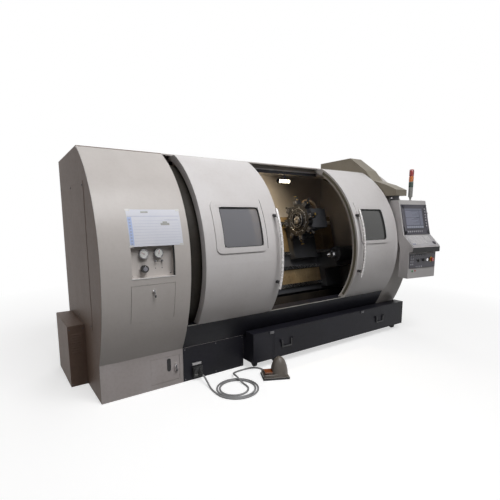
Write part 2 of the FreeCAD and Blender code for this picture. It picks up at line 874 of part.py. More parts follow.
# Base, bed and headstock
def base_frame():
    """Left pedestal and rear beam, with open foot notches for the anchor bolts."""
    left_face = left + base_inset
    right_face = right - base_inset
    rear_face = back - base_inset
    body = box((left_face, left + pedestal_length), (front + base_inset, rear_face), (0, base_height))
    body = body.fuse(box((left_face, right_face), (front + rear_beam_front, rear_face), (0, base_height)))
    body = one(body)
    for y in (front + anchor_front, front + anchor_back):
        for x, mouth in ((left_face, left_face - overrun),
                         (right_face - notch_length, right_face - notch_length)):
            notch = box((mouth, mouth + notch_length + overrun), (y - notch_width / 2, y + notch_width / 2),
                        (foot_plate, foot_plate + notch_height))
            body = body.cut(notch)
        for x in (left_face + anchor_inset, right_face - anchor_inset):
            body = body.cut(rod(V(x, y, -overrun), V(0, 0, 1), anchor_radius, foot_plate + 2 * overrun))
    core_x = (left_face + notch_length + 2 * casting_wall, right_face - notch_length - 2 * casting_wall)
    core_z = (casting_wall, base_height - casting_wall)
    core = box((core_x[0], left + pedestal_length - casting_wall),
               (front + base_inset + casting_wall, rear_face - casting_wall), core_z)
    core = core.fuse(box(core_x, (front + rear_beam_front + casting_wall, rear_face - casting_wall),
                         core_z))
    return body.cut(one(core))


def bed():
    """Slanted slab on two feet that stand on the base."""
    x = (left + bed_start, left + bed_end)
    slab = slant_box(x, (-bed_low_reach, bed_high_reach), (-bed_drop - bed_thickness, -bed_drop))
    low_y, low_z = slanted(-bed_low_reach, -bed_drop)
    for start in (x[0], x[1] - bed_foot_length):
        foot = prism([(low_y, base_height), (low_y, low_z),
                      slanted(bed_high_reach, -bed_drop - bed_thickness / 2),
                      (rear_y - seam, slanted(bed_high_reach,
                                              -bed_drop - bed_thickness)[1]), (rear_y - seam, base_height)],
                     start, bed_foot_length)
        slab = slab.fuse(foot)
    skirt = box(x, (front + rear_beam_front, rear_y - seam), (base_height, low_z))
    core = slant_box((x[0] + casting_wall, x[1] - casting_wall),
                     (casting_wall - bed_low_reach, bed_high_reach - casting_wall),
                     (casting_wall - bed_drop - bed_thickness, -bed_drop - casting_wall))
    return one(slab.fuse(skirt)).cut(core)


def bed_ways():
    """Four hardened ways along the bed face."""
    rails = []
    for s in (carriage_way_low, carriage_way_high, tail_way_low, tail_way_high):
        rails.append(slant_box((left + bed_start, left + bed_end), (s, s + way_width),
                               (-bed_drop, way_height - bed_drop)))
    return Part.makeCompound(rails)


def headstock_housing():
    """Casting round the spindle on its leg, bored for the spindle."""
    x = (left + headstock_start, left + headstock_start + headstock_length)
    y = (spindle_y - headstock_front_reach, spindle_y + headstock_back_reach)
    z = (spindle_height - headstock_drop, spindle_height + headstock_top_reach)
    body = box(x, y, z)
    along = [edge for edge in body.Edges if abs(edge.tangentAt(0).x) > 0.9]
    upper = [edge for edge in along if edge.CenterOfMass.z > spindle_height]
    body = body.makeFillet(headstock_fillet, upper)
    body = body.fuse(box(x, (y[1] - headstock_leg_depth, y[1]), (base_height, z[0])))
    bore = rod(V(x[0] - overrun, spindle_y, spindle_height), V(1, 0, 0), spindle_radius + shaft_clearance,
               headstock_length + 2 * overrun)
    return one(body.cut(bore))


def spindle_shaft():
    """Hollow spindle with its nose flange and the belt pulley on its tail."""
    start = left + spindle_tail
    end = left + headstock_start + headstock_length + running_gap
    axis = V(1, 0, 0)
    shaft = rod(V(start, spindle_y, spindle_height), axis, spindle_radius, end - start)
    flange = rod(V(end, spindle_y, spindle_height), axis, nose_flange_radius, nose_flange_length)
    pulley = pulley_shape(spindle_y, spindle_height, spindle_pulley_radius)
    body = shaft.fuse([flange, pulley])
    bore = rod(V(start - overrun, spindle_y, spindle_height), axis, spindle_bore_radius,
               end - start + nose_flange_length + 2 * overrun)
    return one(body.cut(bore))


def pulley_shape(y, z, radius):
    """Flat pulley with a rim at each end."""
    start = left + pulley_start
    wheel = rod(V(start, y, z), V(1, 0, 0), radius, pulley_width)
    for x in (start, start + pulley_width - pulley_rim_width):
        wheel = wheel.fuse(rod(V(x, y, z), V(1, 0, 0), radius + pulley_rim, pulley_rim_width))
    return wheel


def motor_pulley():
    """Pulley with its stub in the motor."""
    y = front + motor_setback
    wheel = pulley_shape(y, motor_height, motor_pulley_radius)
    stub = rod(V(left + pulley_start - motor_stub_length, y, motor_height), V(1, 0, 0), motor_shaft_radius,
               motor_stub_length + overrun)
    return one(wheel.fuse(stub))


def spindle_motor():
    """Round motor on a foot block, bored for the pulley stub."""
    y = front + motor_setback
    x = (left + motor_start, left + pulley_start - motor_face_gap)
    body = rod(V(x[0], y, motor_height), V(1, 0, 0), motor_radius, x[1] - x[0])
    foot = box((x[0] + motor_foot_inset, x[1] - motor_foot_inset),
               (y - motor_foot_width / 2, y + motor_foot_width / 2),
               (base_height, motor_height))
    bore = rod(V(left + pulley_start - motor_stub_length - overrun, y, motor_height), V(1, 0, 0),
               motor_shaft_radius + shaft_clearance, motor_stub_length + 2 * overrun)
    return one(body.fuse(foot).cut(bore))


def belt_section(extra, x):
    """Outline round both pulleys at a distance from their faces."""
    centre_a = V(x, spindle_y, spindle_height)
    centre_b = V(x, front + motor_setback, motor_height)
    radius_a = spindle_pulley_radius + extra
    radius_b = motor_pulley_radius + extra
    along = (centre_b - centre_a).normalize()
    across = V(0, -along.z, along.y)
    lean = (radius_a - radius_b) / centre_a.distanceToPoint(centre_b)
    side = math.sqrt(1 - lean ** 2)
    starts = [centre_a + (along * lean + across * side * way) * radius_a for way in (1, -1)]
    stops = [centre_b + (along * lean + across * side * way) * radius_b for way in (1, -1)]
    edges = [Part.makeLine(starts[0], stops[0]),
             Part.Arc(stops[0], centre_b + along * radius_b, stops[1]).toShape(),
             Part.makeLine(stops[1], starts[1]), Part.Arc(starts[1], centre_a - along * radius_a,
                                                          starts[0]).toShape()]
    return Part.Face(Part.Wire(edges))


def drive_belt():
    """Closed belt round both pulleys."""
    start = left + pulley_start + (pulley_width - belt_width) / 2
    outer = belt_section(running_gap + belt_thickness, start).extrude(V(belt_width, 0, 0))
    inner = belt_section(running_gap, start - overrun).extrude(V(belt_width + 2 * overrun, 0, 0))
    return outer.cut(inner)


def chuck_start():
    """X of the chuck's back face."""
    return left + headstock_start + headstock_length + running_gap + nose_flange_length


def turned(shape, angle):
    """Copy turned about the spindle axis."""
    copy = shape.copy()
    copy.rotate(V(0, spindle_y, spindle_height), V(1, 0, 0), angle)
    return copy


def jaw_slot(clearance):
    """Slot in the chuck face for the upright jaw."""
    x = chuck_start() + chuck_length
    half = jaw_width / 2 + clearance
    return box((x - jaw_slot_depth - clearance, x + overrun), (spindle_y - half, spindle_y + half),
               (spindle_height + jaw_slot_inner, spindle_height + chuck_radius + overrun))


def chuck_body():
    """Power chuck with three radial slots and a through bore."""
    body = rod(V(chuck_start(), spindle_y, spindle_height), V(1, 0, 0), chuck_radius, chuck_length)
    body = body.makeChamfer(chuck_chamfer, [body.Edges[0], body.Edges[2]])
    for number in range(jaw_count):
        body = body.cut(turned(jaw_slot(running_gap), 360 * number / jaw_count))
    bore = rod(V(chuck_start() - overrun, spindle_y, spindle_height), V(1, 0, 0), spindle_bore_radius,
               chuck_length + 2 * overrun)
    return body.cut(bore)


def chuck_jaw(number):
    """Stepped jaw in its slot."""
    x = chuck_start() + chuck_length
    y = (spindle_y - jaw_width / 2, spindle_y + jaw_width / 2)
    jaw = box((x - jaw_slot_depth, x + jaw_length), y,
              (spindle_height + jaw_inner, spindle_height + jaw_outer))
    step = box((x + jaw_length - jaw_step_length, x + jaw_length + overrun),
               (y[0] - overrun, y[1] + overrun),
               (spindle_height + jaw_step_radius, spindle_height + jaw_outer + overrun))
    return turned(jaw.cut(step), 360 * number / jaw_count)


# Carriage, turret and tailstock
def carriage_saddle():
    """Saddle over the two upper ways."""
    x = (left + carriage_start, left + carriage_start + carriage_length)
    top = way_height + saddle_thickness - bed_drop
    body = slant_box(x, (saddle_low, saddle_high), (saddle_lift - bed_drop, top))
    for s in (carriage_way_low, carriage_way_high):
        channel = slant_box((x[0] - overrun, x[1] + overrun),
                            (s - running_gap, s + way_width + running_gap),
                            (-bed_drop - overrun, way_height + running_gap - bed_drop))
        body = body.cut(channel)
    return body


def conduit():
    """Half ring of cable conduit on top of the turret box."""
    y, z = slanted(turret_reach + turret_box_half, 0)
    middle = V(left + cross_start + turret_box_length / 2, y, z)
    rise = V(0, math.cos(slant), math.sin(slant))
    reach = V(conduit_span / 2, 0, 0)
    arc = Part.Arc(middle - reach, middle + rise * (conduit_span / 2), middle + reach).toShape()
    ring = Part.Wire(Part.makeCircle(conduit_radius, middle - reach, rise))
    return Part.Wire([arc]).makePipeShell([ring], True, True)


def cross_slide():
    """Cross slide with the turret box and its conduit."""
    x = (left + cross_start, left + cross_start + cross_length)
    low = way_height + saddle_thickness + running_gap - bed_drop
    plate = slant_box(x, (cross_low, cross_high), (low, low + cross_thickness))
    tower = slant_box((x[0], x[0] + turret_box_length),
                      (turret_reach - turret_box_half, turret_reach + turret_box_half),
                      (low, turret_box_front))
    y, z = slanted(turret_reach, 0)
    bore = rod(V(x[0] - overrun, y, z), V(1, 0, 0), turret_shaft_radius + shaft_clearance,
               turret_shaft_length + 2 * overrun)
    return Part.makeCompound([one(plate.fuse(tower).cut(bore)), conduit()])


def turret_disc():
    """Disc with a flat for each tool, a raised ring, a boss and its shaft stub."""
    y, z = slanted(turret_reach, 0)
    end = left + cross_start - running_gap
    start = end - turret_disc_width
    corner = turret_disc_inner / math.cos(math.pi / turret_flats)
    points = []
    for number in range(turret_flats):
        angle = slant + (2 * number + 1) * math.pi / turret_flats
        points.append((y + corner * math.cos(angle), z + corner * math.sin(angle)))
    disc = prism(points, start, turret_disc_width)
    axis = V(1, 0, 0)
    ring = rod(V(start - turret_boss_length, y, z), axis, turret_ring_radius, turret_boss_length)
    ring = ring.cut(rod(V(start - turret_boss_length, y, z), axis, turret_ring_radius - turret_ring_bar,
                        turret_boss_length))
    boss = rod(V(start - turret_boss_length, y, z), axis, turret_boss_radius, turret_boss_length)
    stub = rod(V(end, y, z), axis, turret_shaft_radius, turret_shaft_length)
    return one(disc.fuse([ring, boss, stub]))


def turret_tools():
    """A holder on each flat, with a turning tool or a boring bar by turns."""
    y, z = slanted(turret_reach, 0)
    x = left + cross_start - running_gap - turret_disc_width / 2
    pieces = []
    for number in range(turret_flats):
        block = box((x - holder_length / 2, x + holder_length / 2),
                    (y - holder_width / 2, y + holder_width / 2),
                    (z + turret_disc_inner, z + turret_disc_inner + holder_height))
        top = z + turret_disc_inner + holder_height
        if number % 2:
            tool = rod(V(x, y, top), V(0, 0, 1), tool_side / 2, tool_reach)
        else:
            tool = box((x - tool_side / 2, x + tool_side / 2), (y - tool_side / 2, y + tool_side / 2),
                       (top, top + tool_reach))
        piece = block.fuse(tool)
        piece.rotate(V(x, y, z), V(1, 0, 0), bed_slant - 90 + 360 * number / turret_flats)
        pieces.append(piece)
    return Part.makeCompound(pieces)


def tailstock_body():
    """Base over the lower ways, neck and barrel, bored for the quill."""
    x = (left + tail_start, left + tail_start + tail_length)
    top = tail_base_thickness - bed_drop
    body = slant_box(x, (tail_base_low, tail_base_high), (saddle_lift - bed_drop, top))
    for s in (tail_way_low, tail_way_high):
        channel = slant_box((x[0] - overrun, x[1] + overrun),
                            (s - running_gap, s + way_width + running_gap),
                            (-bed_drop - overrun, way_height + running_gap - bed_drop))
        body = body.cut(channel)
    neck = slant_box(x, (tail_neck_low, tail_neck_high), (top, 0))
    barrel = rod(V(x[0], spindle_y, spindle_height), V(1, 0, 0), tail_barrel_radius, tail_length)
    bore = rod(V(x[0] - overrun, spindle_y, spindle_height), V(1, 0, 0), quill_radius + shaft_clearance,
               tail_length + 2 * overrun)
    return one(body.fuse([neck, barrel]).cut(bore))


def tailstock_quill():
    """Quill, bored for the shank of the live centre."""
    start = left + tail_start - quill_out
    body = rod(V(start, spindle_y, spindle_height), V(1, 0, 0), quill_radius, quill_length)
    bore = rod(V(start - overrun, spindle_y, spindle_height), V(1, 0, 0),
               centre_shank_radius + shaft_clearance,
               centre_shank_length + 2 * overrun)
    return body.cut(bore)


def live_centre():
    """Turned centre with its shank."""
    end = left + tail_start - quill_out - running_gap
    axis = V(1, 0, 0)
    body = rod(V(end - centre_length, spindle_y, spindle_height), axis, centre_radius, centre_length)
    nose = Part.makeCone(0, centre_radius * centre_neck_share, centre_nose,
                         V(end - centre_length - centre_nose, spindle_y, spindle_height), axis)
    shank = rod(V(end, spindle_y, spindle_height), axis, centre_shank_radius, centre_shank_length)
    return one(body.fuse([nose, shank]))


# Chip chute, drawer and its fittings
def chip_chute():
    """Hopper under the work area, hooked to the sill, open above and below."""
    sill_back = arc_y(nose_y, nose_height, lower_radius, sill_height) + sill_depth
    x = (left + tank_start + seam, left + bed_end)
    front_wall = [(sill_back, sill_height - sheet), (front + chute_front_low, chute_mouth_height),
                  (front + chute_front_low + sheet, chute_mouth_height), (sill_back + sheet,
                                                                          sill_height - sheet)]
    back_wall = [(front + chute_back_top, chute_back_height), (front + chute_back_low, chute_mouth_height),
                 (front + chute_back_low - sheet, chute_mouth_height), (front + chute_back_top - sheet,
                                                                        chute_back_height)]
    end = [front_wall[0], front_wall[1], back_wall[1], back_wall[0]]
    body = prism(front_wall, x[0], x[1] - x[0]).fuse(prism(back_wall, x[0], x[1] - x[0]))
    for start in (x[0], x[1] - sheet):
        body = body.fuse(prism(end, start, sheet))
    return one(body)


def drawer_places():
    """Places of the drawer along X and of its front face along Y."""
    return (left + drawer_start + seam, right), front - drawer_reach


def pull_places():
    """X of the middle of each pull handle."""
    return left + pull_left, left + pull_left + pull_pitch


def wheel_places():
    """X of the middle of each caster wheel."""
    (x0, x1), _ = drawer_places()
    return x0 + wheel_inset, x1 - wheel_inset


def caster_fork(middle, front_y):
    """Two plates under the tank for the axle of a caster wheel."""
    axle = V(middle, front_y + wheel_setback, wheel_radius)
    plates = []
    for way in (-1, 1):
        near = middle + way * (wheel_width / 2 + fork_gap)
        across = sorted((near, near + way * fork_plate))
        plate = box(across, (axle.y - wheel_bore_radius * 2, axle.y + wheel_bore_radius * 2),
                    (wheel_radius - wheel_bore_radius * 2, drawer_bottom))
        hole = rod(V(across[0] - overrun, axle.y, axle.z), V(1, 0, 0), wheel_bore_radius + shaft_clearance,
                   fork_plate + 2 * overrun)
        plates.append(plate.cut(hole))
    return plates


def caster_wheel(middle, front_y):
    """Caster wheel with its axle."""
    start = V(middle - wheel_width / 2, front_y + wheel_setback, wheel_radius)
    tyre = rod(start, V(1, 0, 0), wheel_radius, wheel_width)
    tyre = tyre.makeFillet(wheel_width * edge_share, [tyre.Edges[0], tyre.Edges[2]])
    reach = fork_gap + fork_plate
    return one(tyre.fuse(rod(start - V(reach, 0, 0), V(1, 0, 0), wheel_bore_radius,
                             wheel_width + 2 * reach)))


def coolant_tank():
    """Fixed tank beside the drawer, with its lid, its caster and a rear skid."""
    x = (left + tank_start - seam + running_gap, left + drawer_start + seam - running_gap)
    y = front - drawer_reach
    rear = y + drawer_depth
    tank = box(x, (y, rear), (drawer_bottom, drawer_tank_top))
    tank = tank.fuse(box(x, (y, y + drawer_lid_depth), (drawer_tank_top, drawer_front_top)))
    room = box((x[0] + drawer_wall, x[1] - drawer_wall), (y + drawer_wall, rear - drawer_wall),
               (drawer_bottom + drawer_wall, drawer_tank_top - drawer_wall))
    nook = box((x[0] + drawer_wall, x[1] - drawer_wall),
               (y + drawer_wall, y + drawer_lid_depth - drawer_wall),
               (drawer_bottom + drawer_wall, drawer_front_top - drawer_wall))
    middle = x[0] + wheel_inset
    tank = tank.cut(room.fuse(nook)).fuse(caster_fork(middle, y))
    skid = box((x[0], x[1]), (rear - wheel_setback - wheel_width, rear - wheel_setback + wheel_width),
               (0, drawer_bottom))
    return Part.makeCompound([one(tank.fuse(skid)), caster_wheel(middle, y)])


def chip_drawer():
    """Chip tank with its tall front, half lid, handle ears, caster forks and rear skids."""
    x, y = drawer_places()
    rear = y + drawer_depth
    tank = box(x, (y, rear), (drawer_bottom, drawer_tank_top))
    tank = tank.fuse(box(x, (y, y + drawer_lid_depth), (drawer_tank_top, drawer_front_top)))
    hollow = box((x[0] + drawer_wall, x[1] - drawer_wall), (y + drawer_wall, rear - drawer_wall),
                 (drawer_bottom + drawer_wall, drawer_tank_top + overrun))
    nook = box((x[0] + drawer_wall, x[1] - drawer_wall),
               (y + drawer_wall, y + drawer_lid_depth - drawer_wall),
               (drawer_bottom + drawer_wall, drawer_front_top - drawer_wall))
    riser = box(x, (y + drawer_lid_depth - drawer_wall, y + drawer_lid_depth),
                (drawer_tank_top, drawer_front_top))
    tank = tank.cut(hollow.cut(riser)).cut(nook)
    pin = V(0, y - ear_reach / 2, pull_top)
    for middle in pull_places():
        for way in (-1, 1):
            near = middle + way * (pull_width / 2 + fork_gap)
            across = sorted((near, near + way * ear_width))
            ear = box(across, (y - ear_reach, y), (pull_top - ear_width, pull_top + ear_width))
            hole = rod(V(across[0] - overrun, pin.y, pin.z), V(1, 0, 0), pull_rod + shaft_clearance,
                       ear_width + 2 * overrun)
            tank = tank.fuse(ear.cut(hole))
    for middle in wheel_places():
        tank = tank.fuse(caster_fork(middle, y))
    for middle in wheel_places():
        skid = box((middle - wheel_width, middle + wheel_width),
                   (rear - wheel_setback - wheel_width, rear - wheel_setback + wheel_width), (0,
                                                                                              drawer_bottom))
        tank = tank.fuse(skid)
    return tank


def drawer_pulls():
    """Two bail handles whose ends turn in the drawer's ears."""
    _, face = drawer_places()
    y = face - ear_reach / 2
    pulls = []
    for middle in pull_places():
        arm_x = middle - pull_width / 2 + pull_rod
        other_x = middle + pull_width / 2 - pull_rod
        low = pull_top - pull_height
        bail = rod(V(arm_x, y, low), V(1, 0, 0), pull_rod, other_x - arm_x)
        for x in (arm_x, other_x):
            bail = bail.fuse(rod(V(x, y, low), V(0, 0, 1), pull_rod, pull_height))
            for z in (low, pull_top):
                bail = bail.fuse(Part.makeSphere(pull_rod, V(x, y, z)))
        reach = fork_gap + ear_width + pull_rod
        bail = bail.fuse(rod(V(arm_x - reach, y, pull_top), V(1, 0, 0), pull_rod, reach))
        bail = bail.fuse(rod(V(other_x, y, pull_top), V(1, 0, 0), pull_rod, reach))
        pulls.append(one(bail))
    return Part.makeCompound(pulls)


def drawer_wheels():
    """Two caster wheels with their axles."""
    _, face = drawer_places()
    return Part.makeCompound([caster_wheel(middle, face) for middle in wheel_places()])


# Control pendant, in its own (u, v, z) places about the swivel axis
def hung(shape):
    """Shape moved from the pendant's own places to the machine."""
    copy = shape.copy()
    copy.rotate(V(0, 0, 0), V(0, 0, 1), pendant_turn)
    copy.translate(V(left + pendant_axis_left, front - pendant_axis_reach, 0))
    return copy


def pendant_outline():
    """Side outline of the pendant as (v, z) points."""
    return [(-pendant_face_top_reach, pendant_top), (-pendant_face_low_reach, pendant_face_low),
            (-pendant_shelf_reach, pendant_shelf_height), (-pendant_shelf_reach,
                                                           pendant_shelf_height - pendant_shelf_edge),
            (-pendant_box_reach, pendant_box_top), (-pendant_box_reach, pendant_box_bottom),
            (-pendant_box_back, pendant_box_bottom),
            (-pendant_box_back, pendant_box_top + pendant_knee_rise),
            (pendant_back_top, pendant_top - pendant_back_drop), (pendant_back_top, pendant_top)]


def face_plate(u, a, rise, top, low):
    """Plate on a sloping face between the (v, z) places top and low, from a[0] to a[1] down it."""
    along = V(0, low[0] - top[0], low[1] - top[1])
    along.normalize()
    outward = V(0, along.z, -along.y)
    start = V(0, top[0], top[1])
    corners = []
    for distance, height in ((a[0], rise[0]), (a[1], rise[0]), (a[1], rise[1]), (a[0], rise[1])):
        place = start + along * distance + outward * height
        corners.append((place.y, place.z))
    return prism(corners, u[0], u[1] - u[0])


def screen_face():
    """Top, bottom and length of the sloping screen face."""
    outline = pendant_outline()
    return outline[0], outline[1], math.dist(outline[0], outline[1])


def bezel_places():
    """Places of the bezel across and down the screen face."""
    top, low, length = screen_face()
    u = (bezel_margin - pendant_left, pendant_width - pendant_left - seam)
    return u, (bezel_top_drop, length - bezel_low_rise)


def control_hole(u, z, radius):
    """Round cutter through the control panel and the box wall behind it."""
    return rod(V(u, -pendant_box_reach - panel_thickness - overrun, z), V(0, 1, 0), radius,
               panel_thickness + sheet + 3 * overrun)


def stop_place():
    """Place of the emergency stop across and up the control panel."""
    return pendant_width - pendant_left - stop_inset, pendant_box_top - panel_top_drop - control_rise


def dial_place():
    """Place of the override dial across and up the control panel."""
    return pendant_width - pendant_left - dial_inset, pendant_box_top - panel_top_drop - control_rise


def pendant_housing():
    """Hollow console with its sloping screen face, shelf and lower box."""
    points = pendant_outline()
    body = prism(points, -pendant_left, pendant_width)
    section = [face for face in body.Faces if abs(face.CenterOfMass.x + pendant_left) < sheet]
    core = section[0].makeOffset2D(-sheet).extrude(V(pendant_width - 2 * sheet, 0, 0))
    core.translate(V(sheet, 0, 0))
    body = body.cut(core)
    u, z = stop_place()
    return hung(body.cut(control_hole(u, z, stop_stem_radius + shaft_clearance)))


def pendant_screen():
    """Bezel with a sunk pane of glass."""
    top, low, _ = screen_face()
    u, a = bezel_places()
    pane_u = (u[0] + screen_left, u[1] - screen_right)
    pane_a = (a[0] + screen_top_drop, a[1] - screen_low_rise)
    bezel = face_plate(u, a, (0, bezel_thickness), top, low)
    bezel = bezel.cut(face_plate(pane_u, pane_a, (screen_sink, bezel_thickness + overrun), top, low))
    pane = face_plate(pane_u, pane_a, (screen_sink, bezel_thickness - screen_sink), top, low)
    return Part.makeCompound([hung(bezel), hung(pane)])


def pendant_keys():
    """Soft keys on the bezel, the keyboard with its ball, and the control panel with its keys."""
    top, low, _ = screen_face()
    u, a = bezel_places()
    rise = (bezel_thickness, bezel_thickness + key_height)
    pieces = []
    column_u = u[1] - screen_right / 2 - key_size / 2
    for number in range(key_count):
        start = a[0] + screen_top_drop + number * key_pitch
        pieces.append(face_plate((column_u, column_u + key_size), (start, start + key_size), rise, top,
                                 low))
    row_a = a[1] - screen_low_rise / 2 - key_size / 2
    for number in range(row_key_count):
        start = u[0] + screen_left + number * key_pitch
        pieces.append(face_plate((start, start + key_size), (row_a, row_a + key_size), rise, top, low))
    shelf_top, shelf_low = pendant_outline()[1], pendant_outline()[2]
    shelf_length = math.dist(shelf_top, shelf_low)
    board_u = (shelf_margin - pendant_left, pendant_width - pendant_left - shelf_margin)
    board = face_plate(board_u, (shelf_margin, shelf_length - shelf_margin), (0, keyboard_thickness),
                       shelf_top, shelf_low)
    middle = V(board_u[1] - ball_radius - shelf_margin, (shelf_top[0] + shelf_low[0]) / 2,
               (shelf_top[1] + shelf_low[1]) / 2)
    ball = Part.makeSphere(ball_radius, middle).common(face_plate(board_u, (0, shelf_length),
                                                                  (0,
                                                                   2 * ball_radius), shelf_top, shelf_low))
    pieces.append(one(board.fuse(ball)))
    z = (pendant_box_top - panel_top_drop - panel_height, pendant_box_top - panel_top_drop)
    face = -pendant_box_reach
    panel_u = (panel_left_margin - pendant_left, pendant_width - pendant_left - panel_right_margin)
    panel = box(panel_u, (face - panel_thickness, face), z)
    stop_u, stop_z = stop_place()
    pieces.append(panel.cut(control_hole(stop_u, stop_z, stop_stem_radius + shaft_clearance)))
    for number in range(panel_key_count):
        start = z[1] - panel_left_margin - key_size - number * panel_key_pitch
        pieces.append(box((panel_u[0] + panel_left_margin, panel_u[0] + panel_left_margin + key_size),
                          (face - panel_thickness - key_height, face - panel_thickness), (start,
                                                                                          start + key_size)))
    return Part.makeCompound([hung(piece) for piece in pieces])


def emergency_stop():
    """Mushroom head on its stem in the control panel."""
    u, z = stop_place()
    face = -pendant_box_reach - panel_thickness
    stem = rod(V(u, face - stop_stem, z), V(0, 1, 0), stop_stem_radius, stop_stem + panel_thickness + sheet)
    head = rod(V(u, face - stop_stem, z), V(0, -1, 0), stop_radius, stop_head)
    head = head.makeFillet(stop_head * edge_share, [head.Edges[0]])
    return hung(one(stem.fuse(head)))


def override_dial():
    """Fluted dial in front of the control panel."""
    u, z = dial_place()
    face = -pendant_box_reach - panel_thickness - running_gap
    dial = rod(V(u, face, z), V(0, -1, 0), dial_radius, dial_length)
    return hung(dial.makeChamfer(dial_length * edge_share, [dial.Edges[0]]))


def signal_tower():
    """Foot, stem, three lamps and cap, on top of the pendant."""
    u, v = tower_offset, -tower_setback
    pieces = []
    z = pendant_top
    spans = [(tower_base_radius, tower_base_height), (tower_radius * stem_share, tower_stem_height)]
    spans += [(tower_radius, tower_lens_height)] * tower_lens_count + [(tower_radius * stem_share,
                                                                        tower_cap_height)]
    for radius, height in spans:
        pieces.append(hung(rod(V(u, v, z), V(0, 0, 1), radius, height)))
        z += height
    return Part.makeCompound(pieces)


# Foot pedal, in its own (p, q, z) places about its middle
def stood(shape):
    """Shape moved from the pedal's own places to the floor."""
    copy = shape.copy()
    copy.rotate(V(0, 0, 0), V(0, 0, 1), pedal_turn)
    copy.translate(V(left + pedal_left, front - pedal_reach, 0))
    return copy


def hood_form(width, height, start, end):
    """Dome that is an arch from the front and rounds down to the back from the side."""
    spring = pedal_base_height + height - width / 2
    half = width / 2
    arch = [Part.makeLine(V(start, -half, pedal_base_height), V(start, -half, spring)),
            Part.Arc(V(start, -half, spring), V(start, 0, pedal_base_height + height),
                     V(start, half, spring)).toShape(),
            Part.makeLine(V(start, half, spring), V(start, half, pedal_base_height)),
            Part.makeLine(V(start, half, pedal_base_height), V(start, -half, pedal_base_height))]
    across = Part.Face(Part.Wire(arch)).extrude(V(end - start, 0, 0))
    peak = V(start + (end - start) * hood_peak_share, -half, pedal_base_height + height)
    shoulder = V(start + (end - start) * hood_shoulder_share, -half,
                 pedal_base_height + height * hood_shoulder_share)
    foot = V(end, -half, pedal_base_height)
    side = [Part.makeLine(V(start, -half, pedal_base_height),
                          V(start, -half, pedal_base_height + height * hood_front_share)),
            Part.Arc(V(start, -half, pedal_base_height + height * hood_front_share), peak,
                     shoulder).toShape(),
            Part.makeLine(shoulder, foot), Part.makeLine(foot, V(start, -half, pedal_base_height))]
    along = Part.Face(Part.Wire(side)).extrude(V(0, width, 0))
    return across.common(along)


def gland_middle():
    """Middle of the pedal's cable gland, where the side of the base ends."""
    return V(gland_offset - pedal_length / 2, pedal_width / 2, cable_radius + cable_floor_gap)


def treadle_axis():
    """Place of the treadle's pivot along the pedal and up."""
    return treadle_back - pedal_length / 2, treadle_rise


def pedal_base():
    """Sole plate, guard hood, cable gland and the ears of the treadle."""
    sole = box((-pedal_length / 2, pedal_length / 2), (-pedal_width / 2, pedal_width / 2),
               (0, pedal_base_height))
    start = pedal_length * hood_open_share - pedal_length / 2
    dome = hood_form(pedal_width, hood_height, start, pedal_length / 2)
    room = hood_form(pedal_width - 2 * hood_wall, hood_height - hood_wall, start - overrun,
                     pedal_length / 2 - hood_wall)
    body = sole.fuse(dome.cut(room))
    p, z = treadle_axis()
    for way in (-1, 1):
        near = way * (treadle_width / 2 + fork_gap)
        across = sorted((near, near + way * fork_plate))
        ear = box((p - ear_width, p + ear_width), across, (pedal_base_height, z + ear_width))
        hole = rod(V(p, across[0] - overrun, z), V(0, 1, 0), treadle_pivot_radius + shaft_clearance,
                   fork_plate + 2 * overrun)
        body = body.fuse(ear.cut(hole))
    gland = rod(gland_middle(), V(0, 1, 0), cable_radius, gland_length)
    return stood(one(body.fuse(gland)))


def pedal_treadle():
    """Treadle plate on its pivot pin."""
    p, z = treadle_axis()
    plate = box((p - treadle_length, p), (-treadle_width / 2, treadle_width / 2),
                (z - treadle_thickness / 2, z + treadle_thickness / 2))
    reach = fork_gap + fork_plate
    pin = rod(V(p, -treadle_width / 2 - reach, z), V(0, 1, 0), treadle_pivot_radius,
              treadle_width + 2 * reach)
    return stood(one(plate.fuse(pin)))


# Pedal cable: lead down from the outlet, coil on the floor, tail over the coil to the pedal
def cable_height():
    """Height of a cable's middle when it lies on the floor."""
    return cable_radius + cable_floor_gap


def lead_route():
    """Points of the lead, chosen by hand, from the outlet's gland to the coil."""
    low = cable_height()
    gland = V(left + outlet_left + gland_inset, front - outlet_reach - gland_length,
              outlet_bottom + gland_rise)
    coil = V(left + coil_left - coil_radius, front - coil_reach + 2 * cable_radius, low)
    from_gland = [(0, 0, 0), (0, -38.0, 0), (-1.0, -77.0, -8.0), (-4.0, -119.0, -26.0),
                  (-9.0, -163.0, -43.0)]
    to_coil = [(6.0, 104.0, 0), (0, 50.0, 0), (0, 0, 0)]
    return [gland + V(*place) for place in from_gland] + [coil + V(*place) for place in to_coil]


def tail_route():
    """Points of the tail, chosen by hand, from the coil over its turns and round to the pedal."""
    low = cable_height()
    coil = V(left + coil_left, front - coil_reach, low)
    end = stood(Part.Vertex(gland_middle() + V(0, gland_length, 0))).Point
    before = stood(Part.Vertex(gland_middle() + V(0, gland_length + cable_last_run, 0))).Point
    start = coil_end() + V(0, 2 * cable_radius, 0)
    from_coil = [(98.0, 50.0, 0), (95.0, 88.0, 14.7), (91.0, 126.0, 31.7), (93.0, 168.0, 33.7),
                 (106.0, 212.0, 25.7),
                 (131.0, 252.0, 11.7), (171.0, 281.0, 1.7), (234.0, 290.0, 0)]
    to_pedal = [(-121.0, 127.0, 0), (-71.0, 122.0, 0), (-32.0, 103.0, 0), (-6.0, 72.0, 0), (4.4, 35.7, 0)]
    route = [start] + [coil + V(*place) for place in from_coil]
    return route + [before + V(*place) for place in to_pedal] + [before, end]


